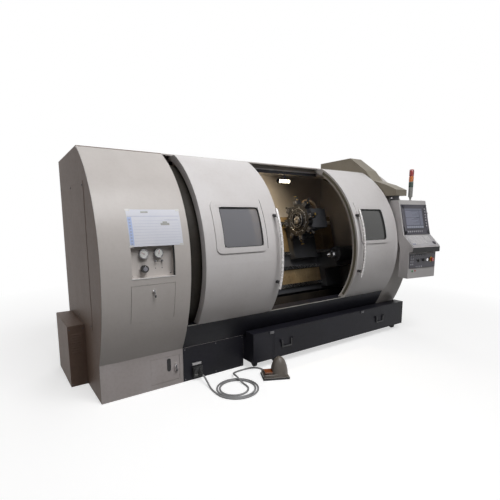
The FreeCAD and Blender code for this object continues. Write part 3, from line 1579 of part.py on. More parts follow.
def cord_wire(places):
    """Straight runs joined by tangent arcs, with the radius of each arc."""
    edges = []
    radii = []
    last = places[0]
    for before, corner, after in zip(places, places[1:], places[2:]):
        way_in = (corner - before).normalize()
        way_out = (after - corner).normalize()
        turn = way_in.getAngle(way_out)
        shorter = min(before.distanceToPoint(corner), corner.distanceToPoint(after))
        reach = cord_arc_share * shorter
        radii.append(reach / math.tan(turn / 2))
        first = corner - way_in * reach
        second = corner + way_out * reach
        inward = (way_out - way_in).normalize()
        centre = corner + inward * (radii[-1] / math.cos(turn / 2))
        middle = centre - inward * radii[-1]
        edges.append(Part.LineSegment(last, first).toShape())
        edges.append(Part.Arc(first, middle, second).toShape())
        last = second
    edges.append(Part.LineSegment(last, places[-1]).toShape())
    return Part.Wire(edges), radii


def cable_tube(wire):
    """Round tube along a wire."""
    start = wire.Edges[0].Vertexes[0].Point
    way = wire.Edges[0].tangentAt(wire.Edges[0].FirstParameter)
    return wire.makePipeShell([Part.Wire(Part.makeCircle(cable_radius, start, way))], True, False)


def free_cable(name, places):
    """Tube along a free route, with its measures printed."""
    wire, radii = cord_wire(places)
    tube = cable_tube(wire)
    expected = math.pi * cable_radius ** 2 * wire.Length
    print(name, "length", round(wire.Length), "radii", [round(radius) for radius in radii],
          "volume ratio", round(tube.Volume / expected, 4))
    return tube


def coil_half_turn(number):
    """X of the start and end of a half turn of the coil, and its radius."""
    start_x = left + coil_left - coil_radius
    way = 1
    for count in range(number):
        start_x += 2 * way * (coil_radius - count * coil_pitch / 2)
        way = -way
    radius = coil_radius - number * coil_pitch / 2 if number < coil_half_turns else coil_last_radius
    return start_x, start_x + 2 * way * radius, way * radius


def coil_end():
    """Inner end of the coil's last half turn."""
    return V(coil_half_turn(coil_half_turns)[1], front - coil_reach, cable_height())


def coil_wire():
    """Flat spiral of half turns, with a straight stretch at each end."""
    y = front - coil_reach
    z = cable_height()
    outer_x = coil_half_turn(0)[0]
    edges = [Part.LineSegment(V(outer_x, y + 2 * cable_radius, z), V(outer_x, y, z)).toShape()]
    for number in range(coil_half_turns + 1):
        start_x, end_x, bulge = coil_half_turn(number)
        middle = V((start_x + end_x) / 2, y - bulge, z)
        edges.append(Part.Arc(V(start_x, y, z), middle, V(end_x, y, z)).toShape())
    edges.append(Part.LineSegment(coil_end(), coil_end() + V(0, 2 * cable_radius, 0)).toShape())
    return Part.Wire(edges)


def least_gap(wire):
    """Least gap of a wound tube to itself, on points a tube radius apart."""
    points = wire.discretize(Distance=cable_radius)
    apart = int(math.pi * coil_last_radius / cable_radius)
    gaps = [a.distanceToPoint(b) for index, a in enumerate(points) for b in points[index + apart:]]
    return min(gaps) - 2 * cable_radius


def pedal_cable_coil():
    """Loose coil of cable on the floor."""
    wire = coil_wire()
    tube = cable_tube(wire)
    expected = math.pi * cable_radius ** 2 * wire.Length
    print("coil length", round(wire.Length), "least gap to itself", round(least_gap(wire), 2),
          "volume ratio", round(tube.Volume / expected, 4))
    return tube


nodes = {
    "base_frame": base_frame,
    "bed": bed,
    "bed_ways": bed_ways,
    "headstock_housing": headstock_housing,
    "cabinet_front_skin": cabinet_front_skin,
    "cabinet_shell": cabinet_shell,
    "plinth_panels": plinth_panels,
    "pressure_gauges": pressure_gauges,
    "coolant_box": coolant_box,
    "fixed_guards": fixed_guards,
    "right_end_cabinet": right_end_cabinet,
    "pendant_arm": pendant_arm,
    "roof_panel": roof_panel,
    "door_rail": door_rail,
    "apron_panel": apron_panel,
    "coolant_tank": coolant_tank,
    "cable_outlet": cable_outlet,
    "rear_cabinet": rear_cabinet,
    "work_lamp": work_lamp,
    "chip_chute": chip_chute,
    "spindle_motor": spindle_motor,
    "drive_belt": drive_belt,
    "left_door_shell": lambda: door_shell(left_door_x, left_door_width, left_window_inset,
                                          left_window_width),
    "left_door_window_frame": lambda: door_window_frame(left_door_x, left_window_inset, left_window_width),
    "left_door_glass": lambda: door_glass(left_door_x, left_window_inset, left_window_width),
    "left_door_handle": lambda: door_handle(left_door_x + left_door_width - handle_inset),
    "right_door_shell": lambda: door_shell(right_door_x, right_door_width, right_window_inset,
                                           right_window_width),
    "right_door_window_frame": lambda: door_window_frame(right_door_x, right_window_inset,
                                                         right_window_width),
    "right_door_glass": lambda: door_glass(right_door_x, right_window_inset, right_window_width),
    "right_door_handle": lambda: door_handle(right_door_x + handle_inset),
    "spindle_shaft": spindle_shaft,
    "motor_pulley": motor_pulley,
    "chuck_body": chuck_body,
    "carriage_saddle": carriage_saddle,
    "cross_slide": cross_slide,
    "turret_disc": turret_disc,
    "turret_tools": turret_tools,
    "tailstock_body": tailstock_body,
    "tailstock_quill": tailstock_quill,
    "live_centre": live_centre,
    "chip_drawer": chip_drawer,
    "drawer_pulls": drawer_pulls,
    "drawer_wheels": drawer_wheels,
    "access_door": access_door,
    "plinth_door": plinth_door,
    "regulator_knob": regulator_knob,
    "pendant_housing": pendant_housing,
    "pendant_screen": pendant_screen,
    "pendant_keys": pendant_keys,
    "emergency_stop": emergency_stop,
    "override_dial": override_dial,
    "signal_tower": signal_tower,
    "pedal_base": pedal_base,
    "pedal_treadle": pedal_treadle,
    "pedal_cable_lead": lambda: free_cable("lead", lead_route()),
    "pedal_cable_coil": pedal_cable_coil,
    "pedal_cable_tail": lambda: free_cable("tail", tail_route()),
}
for jaw in range(jaw_count):
    nodes["chuck_jaw_" + str(jaw + 1)] = lambda number=jaw: chuck_jaw(number)

if __name__ == "__main__":
    os.makedirs("parts", exist_ok=True)
    for name, make in nodes.items():
        make().exportStep("parts/" + name + ".step")
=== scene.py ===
"""Looks of an enclosed CNC lathe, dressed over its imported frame. Metres, +Z up, front faces -Y."""

import logging
from dataclasses import dataclass
from enum import Enum
from math import atan2, cos, degrees, pi, radians, sin, sqrt
from typing import Callable, Iterable, Optional, Sequence

import bpy
from mathutils import Matrix, Vector


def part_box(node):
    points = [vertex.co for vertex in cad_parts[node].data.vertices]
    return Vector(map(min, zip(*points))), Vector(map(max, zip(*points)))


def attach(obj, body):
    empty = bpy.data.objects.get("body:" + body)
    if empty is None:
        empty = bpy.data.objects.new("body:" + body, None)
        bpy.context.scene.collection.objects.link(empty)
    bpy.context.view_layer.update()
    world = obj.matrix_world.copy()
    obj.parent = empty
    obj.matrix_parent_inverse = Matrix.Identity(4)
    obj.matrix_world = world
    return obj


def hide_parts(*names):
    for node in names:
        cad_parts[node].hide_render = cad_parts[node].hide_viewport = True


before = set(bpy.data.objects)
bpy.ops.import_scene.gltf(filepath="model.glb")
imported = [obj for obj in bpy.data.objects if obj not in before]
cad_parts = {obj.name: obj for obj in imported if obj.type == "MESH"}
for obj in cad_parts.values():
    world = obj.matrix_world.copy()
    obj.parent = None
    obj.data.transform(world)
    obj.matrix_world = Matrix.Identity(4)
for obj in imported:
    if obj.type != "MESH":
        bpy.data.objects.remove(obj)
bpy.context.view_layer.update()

log = logging.getLogger("lathe")
Point = tuple[float, float, float]
Colour = tuple[float, float, float]
Span = tuple[float, float]
Area = tuple[Span, Span]
Piece = bpy.types.Object
LEFT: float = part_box("cabinet_shell")[0].x
FRONT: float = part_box("plinth_panels")[0].y

# Modelling: angles that a bevel and the shading act on, and a bevel's greatest share of a thickness
BEVEL_DEG: float = 40.0
SMOOTH_DEG: float = 35.0
EDGE_SHARE: float = 0.3
TINY: float = 1e-6
# Gaps that a thin trim and a panel keep from the surface under them
TRIM_GAP: float = 0.0002
PANEL_GAP: float = 0.0003

# Places shared by several sub-assemblies: the bed's slant, the spindle's depth and height, the cable's ends
SLANT_DEG: float = 75.0
SPINDLE: Span = (0.300, 0.980)
CABLE_GLAND: Point = (0.836, -0.056, 0.062)
PEDAL_MIDDLE: Span = (1.424, -0.377)
PEDAL_TURN_DEG: float = -25.8


def place(x: float, y: float, z: float) -> Vector:
    """Point of the row frame for a place counted from the cabinet's left side and the plinth's front.

    Args:
        x: distance to the right of the cabinet's left side.
        y: distance behind the plinth's front.
        z: height above the floor.

    Returns:
        The point in the row frame.
    """
    return Vector((LEFT + x, FRONT + y, z))


class Axis(Enum):
    """Main directions of the machine."""

    X = (1.0, 0.0, 0.0)
    Y = (0.0, 1.0, 0.0)
    Z = (0.0, 0.0, 1.0)
    FORWARD = (0.0, -1.0, 0.0)

    @property
    def vector(self) -> Vector:
        """Direction as a vector."""
        return Vector(self.value)

X_WAY, Y_WAY, Z_WAY, FORWARD = (axis.vector for axis in Axis)


# Finishes


@dataclass(frozen=True)
class Finish:
    """A surface's colours, gloss, grain and wear."""

    name: str
    base: Colour
    tone: Colour
    roughness: float = 0.4
    metallic: float = 0.0
    coat: float = 0.0
    grain_scale: float = 400.0
    grain_height: float = 0.02
    wear: float = 0.25
    worn: Colour = (0.42, 0.40, 0.38)
    grime: float = 0.2
    edge: float = 0.0015
    streak: float = 1.0
    glow: float = 0.0
    specular: float = 0.5


COVER = Finish("cover_enamel", (0.64, 0.60, 0.575), (0.595, 0.555, 0.53), 0.36, coat=0.04, wear=0.10,
    grain_height=0.010, grime=0.05, edge=0.003, specular=0.35)
DOOR = Finish("door_enamel", (0.77, 0.745, 0.745), (0.73, 0.70, 0.695), 0.34, coat=0.04, wear=0.12,
    grain_height=0.010, grime=0.05, edge=0.003, specular=0.35)
PLINTH = Finish("plinth_enamel", (0.56, 0.515, 0.51), (0.51, 0.465, 0.455), 0.44, wear=0.25, grime=0.14,
    specular=0.3)
# Painted shade: the left-facing faces carry the light cover paint, painted dark brown as the shade they fall in.
SHADED_SIDE = Finish("shaded_side_enamel", (0.245, 0.172, 0.136), (0.205, 0.142, 0.112), 0.46, wear=0.12, grime=0.12,
    specular=0.12)
DARK = Finish("dark_enamel", (0.017, 0.017, 0.024), (0.013, 0.013, 0.018), 0.40, wear=0.35,
    worn=(0.10, 0.10, 0.11), grime=0.3, specular=0.2)
RAIL = Finish("rail_enamel", (0.40, 0.37, 0.35), (0.36, 0.33, 0.31), 0.42, wear=0.15, grime=0.15,
    specular=0.3)
# Painted shade: the arm's light grey paint, painted brown as the shade its faces fall in.
SHADED_ARM = Finish("shaded_arm_enamel", (0.30, 0.265, 0.205), (0.265, 0.232, 0.178), 0.42, wear=0.15, grime=0.15,
    specular=0.3)
# Painted shade: the olive of a door edge that faces left, away from the light.
SHADED_OLIVE = Finish("shaded_olive_edge", (0.175, 0.165, 0.130), (0.145, 0.135, 0.105), 0.42, wear=0.2, grime=0.15,
    specular=0.3)
CASTING = Finish("casting_paint", (0.060, 0.062, 0.070), (0.045, 0.047, 0.052), 0.5, grain_scale=120.0,
    grain_height=0.12, wear=0.3, worn=(0.2, 0.19, 0.18), grime=0.3)
GUARD = Finish("guard_sheet", (0.030, 0.025, 0.020), (0.017, 0.015, 0.013), 0.42, wear=0.3,
    worn=(0.12, 0.10, 0.08), grime=0.5, specular=0.15)
WARM_LINER = Finish("warm_liner", (0.30, 0.22, 0.12), (0.17, 0.115, 0.06), 0.38, metallic=0.3, wear=0.3,
    grime=0.4)
GROUND = Finish("ground_steel", (0.56, 0.56, 0.56), (0.45, 0.45, 0.46), 0.24, metallic=1.0, grain_scale=900.0,
    grain_height=0.01, wear=0.1, streak=14.0, grime=0.1)
CHUCK = Finish("chuck_steel", (0.42, 0.42, 0.43), (0.32, 0.32, 0.33), 0.27, metallic=1.0, grain_scale=700.0,
    grain_height=0.012, wear=0.3, worn=(0.6, 0.6, 0.6), grime=0.2)
CHROME = Finish("bright_chrome", (0.86, 0.86, 0.88), (0.80, 0.80, 0.82), 0.09, metallic=1.0,
    grain_height=0.002, wear=0.0, grime=0.05)
TOOL = Finish("tool_steel", (0.15, 0.15, 0.16), (0.10, 0.10, 0.11), 0.36, metallic=0.9, wear=0.4,
    worn=(0.5, 0.5, 0.5), grime=0.2)
TURRET = Finish("turret_steel", (0.050, 0.050, 0.054), (0.034, 0.034, 0.037), 0.38, metallic=0.7, wear=0.4,
    worn=(0.3, 0.3, 0.3), grime=0.2)
IRON = Finish("machined_iron", (0.27, 0.27, 0.28), (0.20, 0.20, 0.21), 0.38, metallic=0.8, wear=0.3)
CARBIDE = Finish("gold_carbide", (0.46, 0.34, 0.13), (0.38, 0.28, 0.10), 0.34, metallic=1.0, wear=0.0)
RUBBER = Finish("black_rubber", (0.022, 0.022, 0.023), (0.032, 0.032, 0.033), 0.68, grain_scale=250.0,
    grain_height=0.05, wear=0.15, worn=(0.09, 0.09, 0.09), grime=0.2)
PLASTIC = Finish("black_plastic", (0.028, 0.028, 0.030), (0.040, 0.040, 0.042), 0.42, grain_scale=600.0,
    grain_height=0.03, wear=0.12, worn=(0.12, 0.12, 0.12), grime=0.05)
PENDANT = Finish("pendant_enamel", (0.66, 0.635, 0.635), (0.60, 0.575, 0.575), 0.44, grain_scale=500.0,
    grain_height=0.03, wear=0.12, grime=0.06, edge=0.003)
TRIM = Finish("white_trim", (0.76, 0.745, 0.75), (0.71, 0.695, 0.70), 0.35, wear=0.1, grime=0.05)
BEZEL = Finish("bezel_panel", (0.045, 0.040, 0.062), (0.035, 0.032, 0.050), 0.30, coat=0.2, wear=0.1,
    worn=(0.15, 0.15, 0.17), grime=0.05)
KEY = Finish("key_plastic", (0.30, 0.30, 0.34), (0.24, 0.24, 0.28), 0.4, wear=0.2, worn=(0.5, 0.5, 0.5),
    grime=0.1)
PALE_KEY = Finish("pale_key", (0.56, 0.545, 0.565), (0.50, 0.485, 0.505), 0.42, wear=0.2, grime=0.15)
RED = Finish("stop_red", (0.62, 0.030, 0.018), (0.50, 0.020, 0.012), 0.26, coat=0.4, wear=0.1, grime=0.05)
GREEN = Finish("start_green", (0.04, 0.36, 0.10), (0.03, 0.28, 0.08), 0.28, coat=0.3, wear=0.05, grime=0.05)
YELLOW = Finish("ring_yellow", (0.78, 0.55, 0.04), (0.70, 0.48, 0.03), 0.34, wear=0.1, grime=0.1)
LENS_RED = Finish("lens_red", (0.50, 0.012, 0.012), (0.36, 0.008, 0.008), 0.16, coat=0.5, wear=0.0,
    grime=0.05)
LENS_ORANGE = Finish("lens_orange", (0.86, 0.22, 0.012), (0.70, 0.15, 0.010), 0.16, coat=0.5, wear=0.0,
    grime=0.05)
LENS_GREEN = Finish("lens_green", (0.008, 0.055, 0.028), (0.005, 0.035, 0.020), 0.16, coat=0.5, wear=0.0,
    grime=0.05)
STEM = Finish("grey_stem", (0.40, 0.40, 0.38), (0.34, 0.34, 0.32), 0.4, wear=0.1)
HAMMERED = Finish("hammered_enamel", (0.165, 0.145, 0.125), (0.125, 0.110, 0.095), 0.36, grain_scale=110.0,
    grain_height=0.10, wear=0.3, grime=0.3)
TREADLE = Finish("treadle_rubber", (0.33, 0.085, 0.018), (0.24, 0.060, 0.012), 0.6, grain_scale=200.0,
    grain_height=0.06, wear=0.3, worn=(0.42, 0.20, 0.10), grime=0.2)
SHEATH = Finish("cable_sheath", (0.36, 0.36, 0.37), (0.29, 0.29, 0.30), 0.5, grain_scale=300.0,
    grain_height=0.03, wear=0.0, grime=0.2, streak=3.0)
HOSE = Finish("ochre_hose", (0.42, 0.27, 0.13), (0.28, 0.17, 0.08), 0.45, wear=0.2, grime=0.3, streak=5.0)
DIAL = Finish("dial_white", (0.82, 0.82, 0.80), (0.76, 0.76, 0.74), 0.35, wear=0.0, grime=0.02)
PAPER = Finish("plain_paper", (0.82, 0.83, 0.90), (0.76, 0.78, 0.87), 0.55, wear=0.0, grime=0.02,
    grain_height=0.01)
INK = Finish("pale_rule", (0.42, 0.47, 0.66), (0.36, 0.42, 0.60), 0.55, wear=0.0, grime=0.0, grain_height=0.0)
BAR = Finish("handle_bar", (0.78, 0.76, 0.755), (0.72, 0.70, 0.695), 0.25, metallic=0.35, coat=0.2, wear=0.0,
    grime=0.08)
# Painted shadow: the dark line that the raised window frame's edge casts on a door.
SEAM_SHADOW = Finish("seam_shadow", (0.085, 0.070, 0.062), (0.060, 0.050, 0.045), 0.6, wear=0.0, grime=0.1)
BRASS = Finish("nozzle_brass", (0.62, 0.43, 0.18), (0.50, 0.34, 0.14), 0.3, metallic=1.0, wear=0.1)
FAINT_INK = Finish("faint_rule", (0.56, 0.58, 0.72), (0.50, 0.53, 0.68), 0.55, wear=0.0, grime=0.0,
    grain_height=0.0)
BLUE_TINT = Finish("blue_column", (0.52, 0.62, 0.90), (0.46, 0.56, 0.86), 0.55, wear=0.0, grime=0.0,
    grain_height=0.0)
TAPE = Finish("clear_tape", (0.78, 0.77, 0.76), (0.72, 0.71, 0.70), 0.22, wear=0.0, grime=0.05)
SCREEN = Finish("screen_glow", (0.100, 0.108, 0.150), (0.135, 0.135, 0.185), 0.16, wear=0.0, grime=0.0,
    grain_height=0.0, glow=0.14)
SCREEN_FIELD = Finish("screen_field", (0.165, 0.175, 0.235), (0.195, 0.195, 0.260), 0.2, wear=0.0, grime=0.0,
    grain_height=0.0, glow=0.14)
SCREEN_LINE = Finish("screen_line", (0.30, 0.32, 0.39), (0.27, 0.29, 0.36), 0.2, wear=0.0, grime=0.0,
    grain_height=0.0, glow=0.12)
BLUE_KEY = Finish("blue_key", (0.05, 0.08, 0.30), (0.04, 0.06, 0.24), 0.35, wear=0.1, grime=0.1)
TREADLE_EDGE = Finish("treadle_edge", (0.30, 0.20, 0.16), (0.24, 0.155, 0.125), 0.5, wear=0.3,
    worn=(0.5, 0.42, 0.36), grime=0.2)


Socket = bpy.types.NodeSocket


class Weave:
    """Adds shader nodes to a tree, and feeds their inputs with sockets or plain values."""

    def __init__(self, tree: bpy.types.NodeTree) -> None:
        """Keeps the tree."""
        self.tree = tree

    def feed(self, node: bpy.types.Node, feeds: dict) -> bpy.types.Node:
        """Feeds a node's inputs.

        Args:
            node: the node.
            feeds: sockets or plain values, by the inputs' names or numbers.

        Returns:
            The node.
        """
        for name, value in feeds.items():
            if isinstance(value, Socket):
                self.tree.links.new(value, node.inputs[name])
            else:
                node.inputs[name].default_value = value
        return node

    def node(self, kind: str, feeds: Optional[dict] = None) -> bpy.types.Node:
        """Adds a node of a kind and feeds it."""
        return self.feed(self.tree.nodes.new(f"ShaderNode{kind}"), feeds or {})

    def math(self, operation: str, a: Socket, b: Socket, clamp: bool = False) -> Socket:
        """Result of an operation on two values."""
        node = self.node("Math")
        node.operation = operation
        node.use_clamp = clamp
        return self.feed(node, {0: a, 1: b}).outputs["Value"]

    def vector(self, operation: str, *values: Socket) -> bpy.types.Node:
        """Operation on vectors."""
        node = self.node("VectorMath")
        node.operation = operation
        return self.feed(node, dict(enumerate(values)))

    def blend(self, factor: Socket, a: object, b: object, way: str = "MIX") -> Socket:
        """Mix of two colours."""
        node = self.node("Mix")
        node.data_type = "RGBA"
        node.blend_type = way
        return self.feed(node, {"Factor": factor, "A": a, "B": b}).outputs["Result"]

    def noise(self, spot: Socket, scale: object, detail: float = 2.0) -> Socket:
        """Value of a noise texture."""
        return self.node("TexNoise", {"Vector": spot, "Scale": scale, "Detail": detail}).outputs["Fac"]

    def ramp(self, value: Socket, low: float, high: float, least: float = 0.0, most: float = 1.0) -> Socket:
        """Value carried over from one span to another, and clamped to it."""
        spans = {"From Min": low, "From Max": high, "To Min": least, "To Max": most}
        return self.node("MapRange", {"Value": value, **spans}).outputs["Result"]

    def seen_ray(self) -> Socket:
        """Value of 1 where a ray comes from the camera, a reflection or through glass."""
        path = self.node("LightPath")
        value = path.outputs["Is Camera Ray"]
        for name in ("Is Glossy Ray", "Is Transmission Ray"):
            value = self.math("MAXIMUM", value, path.outputs[name])
        return value


class Paintwork:
    """Makes and keeps the materials, and the node group that they share."""

    MOTTLING: Span = (3.2, 5.0)
    SMUDGES: Span = (42.0, 4.0)
    GRAIN_DETAIL: float = 3.0
    DARKENING_TINT: tuple[float, ...] = (0.48, 0.42, 0.36, 1.0)
    DARKENING_TOP: float = 0.55
    BEVEL_SAMPLES: int = 3
    EDGE: Span = (0.995, 0.86)
    GLOSS_SPREAD: Span = (-0.05, 0.09)
    BUMP_STRENGTH: float = 4.0
    BUMP_DEPTH: float = 0.001
    COAT_ROUGHNESS: float = 0.12
    SMEAR: Span = (9.0, 5.0)
    SMEAR_ROUGHNESS: Span = (0.03, 0.14)
    GLOW_CLOUD: float = 14.0

    def __init__(self) -> None:
        """Builds the shared group."""
        self.kept: dict[str, bpy.types.Material] = {}
        self.age = self.age_group()

    def age_group(self) -> bpy.types.NodeTree:
        """Builds the group that gives a surface its mottling, grime, darkening towards the bottom, edge wear and
        grain.

        Returns:
            The node group.
        """
        group = bpy.data.node_groups.new("surface_age", "ShaderNodeTree")
        for way, kind, names in (("INPUT", "Color", ("Base", "Tone", "Worn")),
                                 ("INPUT", "Float", ("Wear", "Grime", "Gloss", "Grain", "Edge", "Streak")),
                                 ("OUTPUT", "Color", ("Color",)), ("OUTPUT", "Float", ("Roughness", "Height")),
                                 ("OUTPUT", "Vector", ("Soft Normal",))):
            for name in names:
                group.interface.new_socket(name=name, in_out=way, socket_type=f"NodeSocket{kind}")
        weave = Weave(group)
        given = group.nodes.new("NodeGroupInput").outputs
        spot = weave.node("TexCoord").outputs["Object"]
        stretch = weave.node("CombineXYZ", {"X": 1.0, "Y": 1.0, "Z": given["Streak"]})
        scaled = weave.vector("MULTIPLY", spot, stretch.outputs["Vector"]).outputs["Vector"]
        broad = weave.noise(scaled, *self.MOTTLING)
        fine = weave.noise(scaled, *self.SMUDGES)
        mottled = weave.blend(weave.ramp(broad, 0.36, 0.66), given["Base"], given["Tone"])

        # Darker towards the bottom: below about half a metre the colour darkens in broad patches, scaled by the
        # grime amount.
        height = weave.node("SeparateXYZ", {"Vector": spot}).outputs["Z"]
        low_down = weave.math("MULTIPLY", weave.ramp(height, self.DARKENING_TOP, 0.0),
            weave.ramp(broad, 0.30, 0.65))
        smudge = weave.math("MULTIPLY", weave.ramp(fine, 0.46, 0.72), given["Grime"])
        low_darkening = weave.math("MULTIPLY", low_down, given["Grime"])
        dark = weave.blend(weave.math("ADD", smudge, low_darkening, True), mottled, self.DARKENING_TINT, "MULTIPLY")

        bevel = weave.node("Bevel", {"Radius": given["Edge"]})
        bevel.samples = self.BEVEL_SAMPLES
        flat = weave.node("NewGeometry").outputs["Normal"]
        facing = weave.vector("DOT_PRODUCT", bevel.outputs["Normal"], flat).outputs["Value"]
        edge = weave.math("MULTIPLY", weave.ramp(facing, *self.EDGE), weave.ramp(fine, 0.44, 0.56))
        worn = weave.math("MULTIPLY", edge, given["Wear"])
        gloss = weave.math("ADD", weave.ramp(fine, 0.0, 1.0, *self.GLOSS_SPREAD), given["Gloss"], True)
        weave.feed(group.nodes.new("NodeGroupOutput"), {"Color": weave.blend(worn, dark, given["Worn"]),
            "Roughness": gloss, "Height": weave.noise(scaled, given["Grain"], self.GRAIN_DETAIL),
            "Soft Normal": bevel.outputs["Normal"]})
        return group

    def fresh(self, name: str) -> tuple[Weave, bpy.types.Node]:
        """Makes and keeps a material, and gives its tree and its shader."""
        self.kept[name] = bpy.data.materials.new(name)
        self.kept[name].use_nodes = True
        tree = self.kept[name].node_tree
        return Weave(tree), tree.nodes["Principled BSDF"]

    def coat(self, finish: Finish) -> bpy.types.Material:
        """Makes a finish's material, or gives the one made before.

        Args:
            finish: the finish.

        Returns:
            Its material.
        """
        if finish.name in self.kept:
            return self.kept[finish.name]
        weave, shader = self.fresh(finish.name)
        age = weave.node("Group")
        age.node_tree = self.age
        weave.feed(age, {"Base": (*finish.base, 1.0), "Tone": (*finish.tone, 1.0),
            "Worn": (*finish.worn, 1.0), "Wear": finish.wear, "Grime": finish.grime,
            "Gloss": finish.roughness, "Grain": finish.grain_scale, "Edge": finish.edge,
            "Streak": finish.streak})
        aged = age.outputs
        bump = weave.node("Bump", {"Strength": finish.grain_height * self.BUMP_STRENGTH,
            "Distance": self.BUMP_DEPTH, "Height": aged["Height"], "Normal": aged["Soft Normal"]})
        weave.feed(shader, {"Base Color": aged["Color"], "Roughness": aged["Roughness"],
            "Normal": bump.outputs["Normal"], "Metallic": finish.metallic, "Coat Weight": finish.coat,
            "Coat Roughness": self.COAT_ROUGHNESS, "Specular IOR Level": finish.specular})
        if finish.glow:
            weave.feed(shader, {"Emission Color": aged["Color"], "Emission Strength": finish.glow})
        return self.kept[finish.name]

    def glass(self, name: str, colour: Colour, weight: float) -> bpy.types.Material:
        """Makes a smoked pane with faint smears.

        Args:
            name: the material's name.
            colour: its tint.
            weight: how much light passes.

        Returns:
            The material.
        """
        weave, shader = self.fresh(name)
        smear = weave.noise(weave.node("TexCoord").outputs["Object"], *self.SMEAR)
        weave.feed(shader, {"Roughness": weave.ramp(smear, 0.4, 0.75, *self.SMEAR_ROUGHNESS),
            "Base Color": (*colour, 1.0), "Transmission Weight": weight, "IOR": 1.5})
        return self.kept[name]

    def glow(self, name: str, colour: Colour, strength: float) -> bpy.types.Material:
        """Makes a lit cover whose light varies a little along it.

        Args:
            name: the material's name.
            colour: the light's colour.
            strength: how bright it is.

        Returns:
            The material.
        """
        weave, shader = self.fresh(name)
        cloud = weave.noise(weave.node("TexCoord").outputs["Object"], self.GLOW_CLOUD)
        tint = weave.blend(cloud, (*colour, 1.0), (*[value * 0.8 for value in colour], 1.0))
        weave.feed(shader, {"Base Color": tint, "Emission Color": tint, "Emission Strength": strength})
        return self.kept[name]


paint = Paintwork()


# Modelling with the operators


class Pick(Enum):
    """What is selected in edit mode."""

    EDGES = (False, True, False)
    FACES = (False, False, True)


def deselect() -> None:
    """Deselects every object."""
    bpy.ops.object.select_all(action="DESELECT")


def pick(piece: Piece) -> None:
    """Selects one object alone and makes it active."""
    deselect()
    piece.select_set(True)
    bpy.context.view_layer.objects.active = piece


def settle(piece: Piece, name: str) -> Piece:
    """Names a piece and moves its place into its mesh."""
    piece.name = name
    piece.data.name = name
    pick(piece)
    bpy.ops.object.transform_apply(location=True, rotation=True, scale=True)
    return piece


def soften(piece: Piece, width: float, segments: int = 2) -> Piece:
    """Bevels a piece's sharp edges and smooths it by angle.

    Args:
        piece: the piece.
        width: the bevel's width, or 0 for none.
        segments: the bevel's steps.

    Returns:
        The piece.
    """
    pick(piece)
    if width > 0:
        rounding = piece.modifiers.new("rounding", "BEVEL")
        rounding.width = width
        rounding.segments = segments
        rounding.limit_method = "ANGLE"
        rounding.angle_limit = radians(BEVEL_DEG)
        bpy.ops.object.modifier_apply(modifier=rounding.name)
    bpy.ops.object.shade_smooth_by_angle(angle=radians(SMOOTH_DEG))
    return piece


def cuboid(name: str, low: Vector, high: Vector) -> Piece:
    """Sharp body between two corners, still to be bevelled."""
    deselect()
    bpy.ops.mesh.primitive_cube_add(size=1, location=(low + high) / 2)
    bpy.context.active_object.scale = high - low
    return settle(bpy.context.active_object, name)


def rod(name: str, start: Vector, way: Vector, radius: float, length: float, sides: int) -> Piece:
    """Round bar from a point along a direction."""
    deselect()
    middle = start + way.normalized() * length / 2
    turn = way.to_track_quat("Z", "Y").to_euler()
    bpy.ops.mesh.primitive_cylinder_add(vertices=sides, radius=radius, depth=length, location=middle,
        rotation=turn)
    return soften(settle(bpy.context.active_object, name), 0.001)


def hoop(name: str, middle: Vector, way: Vector, radius: float, bar: float, sides: int = 48) -> Piece:
    """Round ring about an axis."""
    deselect()
    turn = way.to_track_quat("Z", "Y").to_euler()
    bpy.ops.mesh.primitive_torus_add(major_radius=radius, minor_radius=bar, major_segments=sides,
        minor_segments=12, location=middle, rotation=turn)
    return soften(settle(bpy.context.active_object, name), 0)


def round_ball(name: str, middle: Vector, radius: float) -> Piece:
    """Round ball."""
    deselect()
    bpy.ops.mesh.primitive_uv_sphere_add(segments=32, ring_count=16, radius=radius, location=middle)
    return soften(settle(bpy.context.active_object, name), 0)


def shift(piece: Piece, by: Vector) -> Piece:
    """Moves a piece's points."""
    piece.data.transform(Matrix.Translation(by))
    return piece


def spin(piece: Piece, turn: float) -> Piece:
    """Turns a flat piece's points about the origin."""
    piece.data.transform(Matrix.Rotation(turn, 4, "Z"))
    return piece


def spline(name: str, points: Sequence[Vector], radius: float) -> Piece:
    """Curve of one open spline with a round section.

    Args:
        name: the curve's name.
        points: its control points.
        radius: the section's radius.

    Returns:
        The curve object.
    """
    data = bpy.data.curves.new(name, "CURVE")
    data.dimensions = "3D"
    data.bevel_depth = radius
    data.bevel_resolution = 6
    data.resolution_u = 8
    data.use_fill_caps = True
    line = data.splines.new("NURBS")
    line.points.add(len(points) - 1)
    for point, spot in zip(line.points, points):
        point.co = (*spot, 1.0)
    line.order_u = 3
    line.use_endpoint_u = True
    piece = bpy.data.objects.new(name, data)
    bpy.context.scene.collection.objects.link(piece)
    return piece


def choose(piece: Piece, kind: Pick, test: Callable) -> None:
    """Enters edit mode with the faces or edges selected that a test holds for.

    Args:
        piece: the piece.
        kind: faces or edges.
        test: what a chosen face or edge fulfils.
    """
    pick(piece)
    bpy.context.tool_settings.mesh_select_mode = kind.value
    mesh = piece.data
    for group in (mesh.vertices, mesh.edges, mesh.polygons):
        group.foreach_set("select", [False] * len(group))
    for item in (mesh.edges if kind is Pick.EDGES else mesh.polygons):
        item.select = test(item)
    bpy.ops.object.mode_set(mode="EDIT")


def leave_edit() -> None:
    """Leaves edit mode."""
    bpy.ops.object.mode_set(mode="OBJECT")


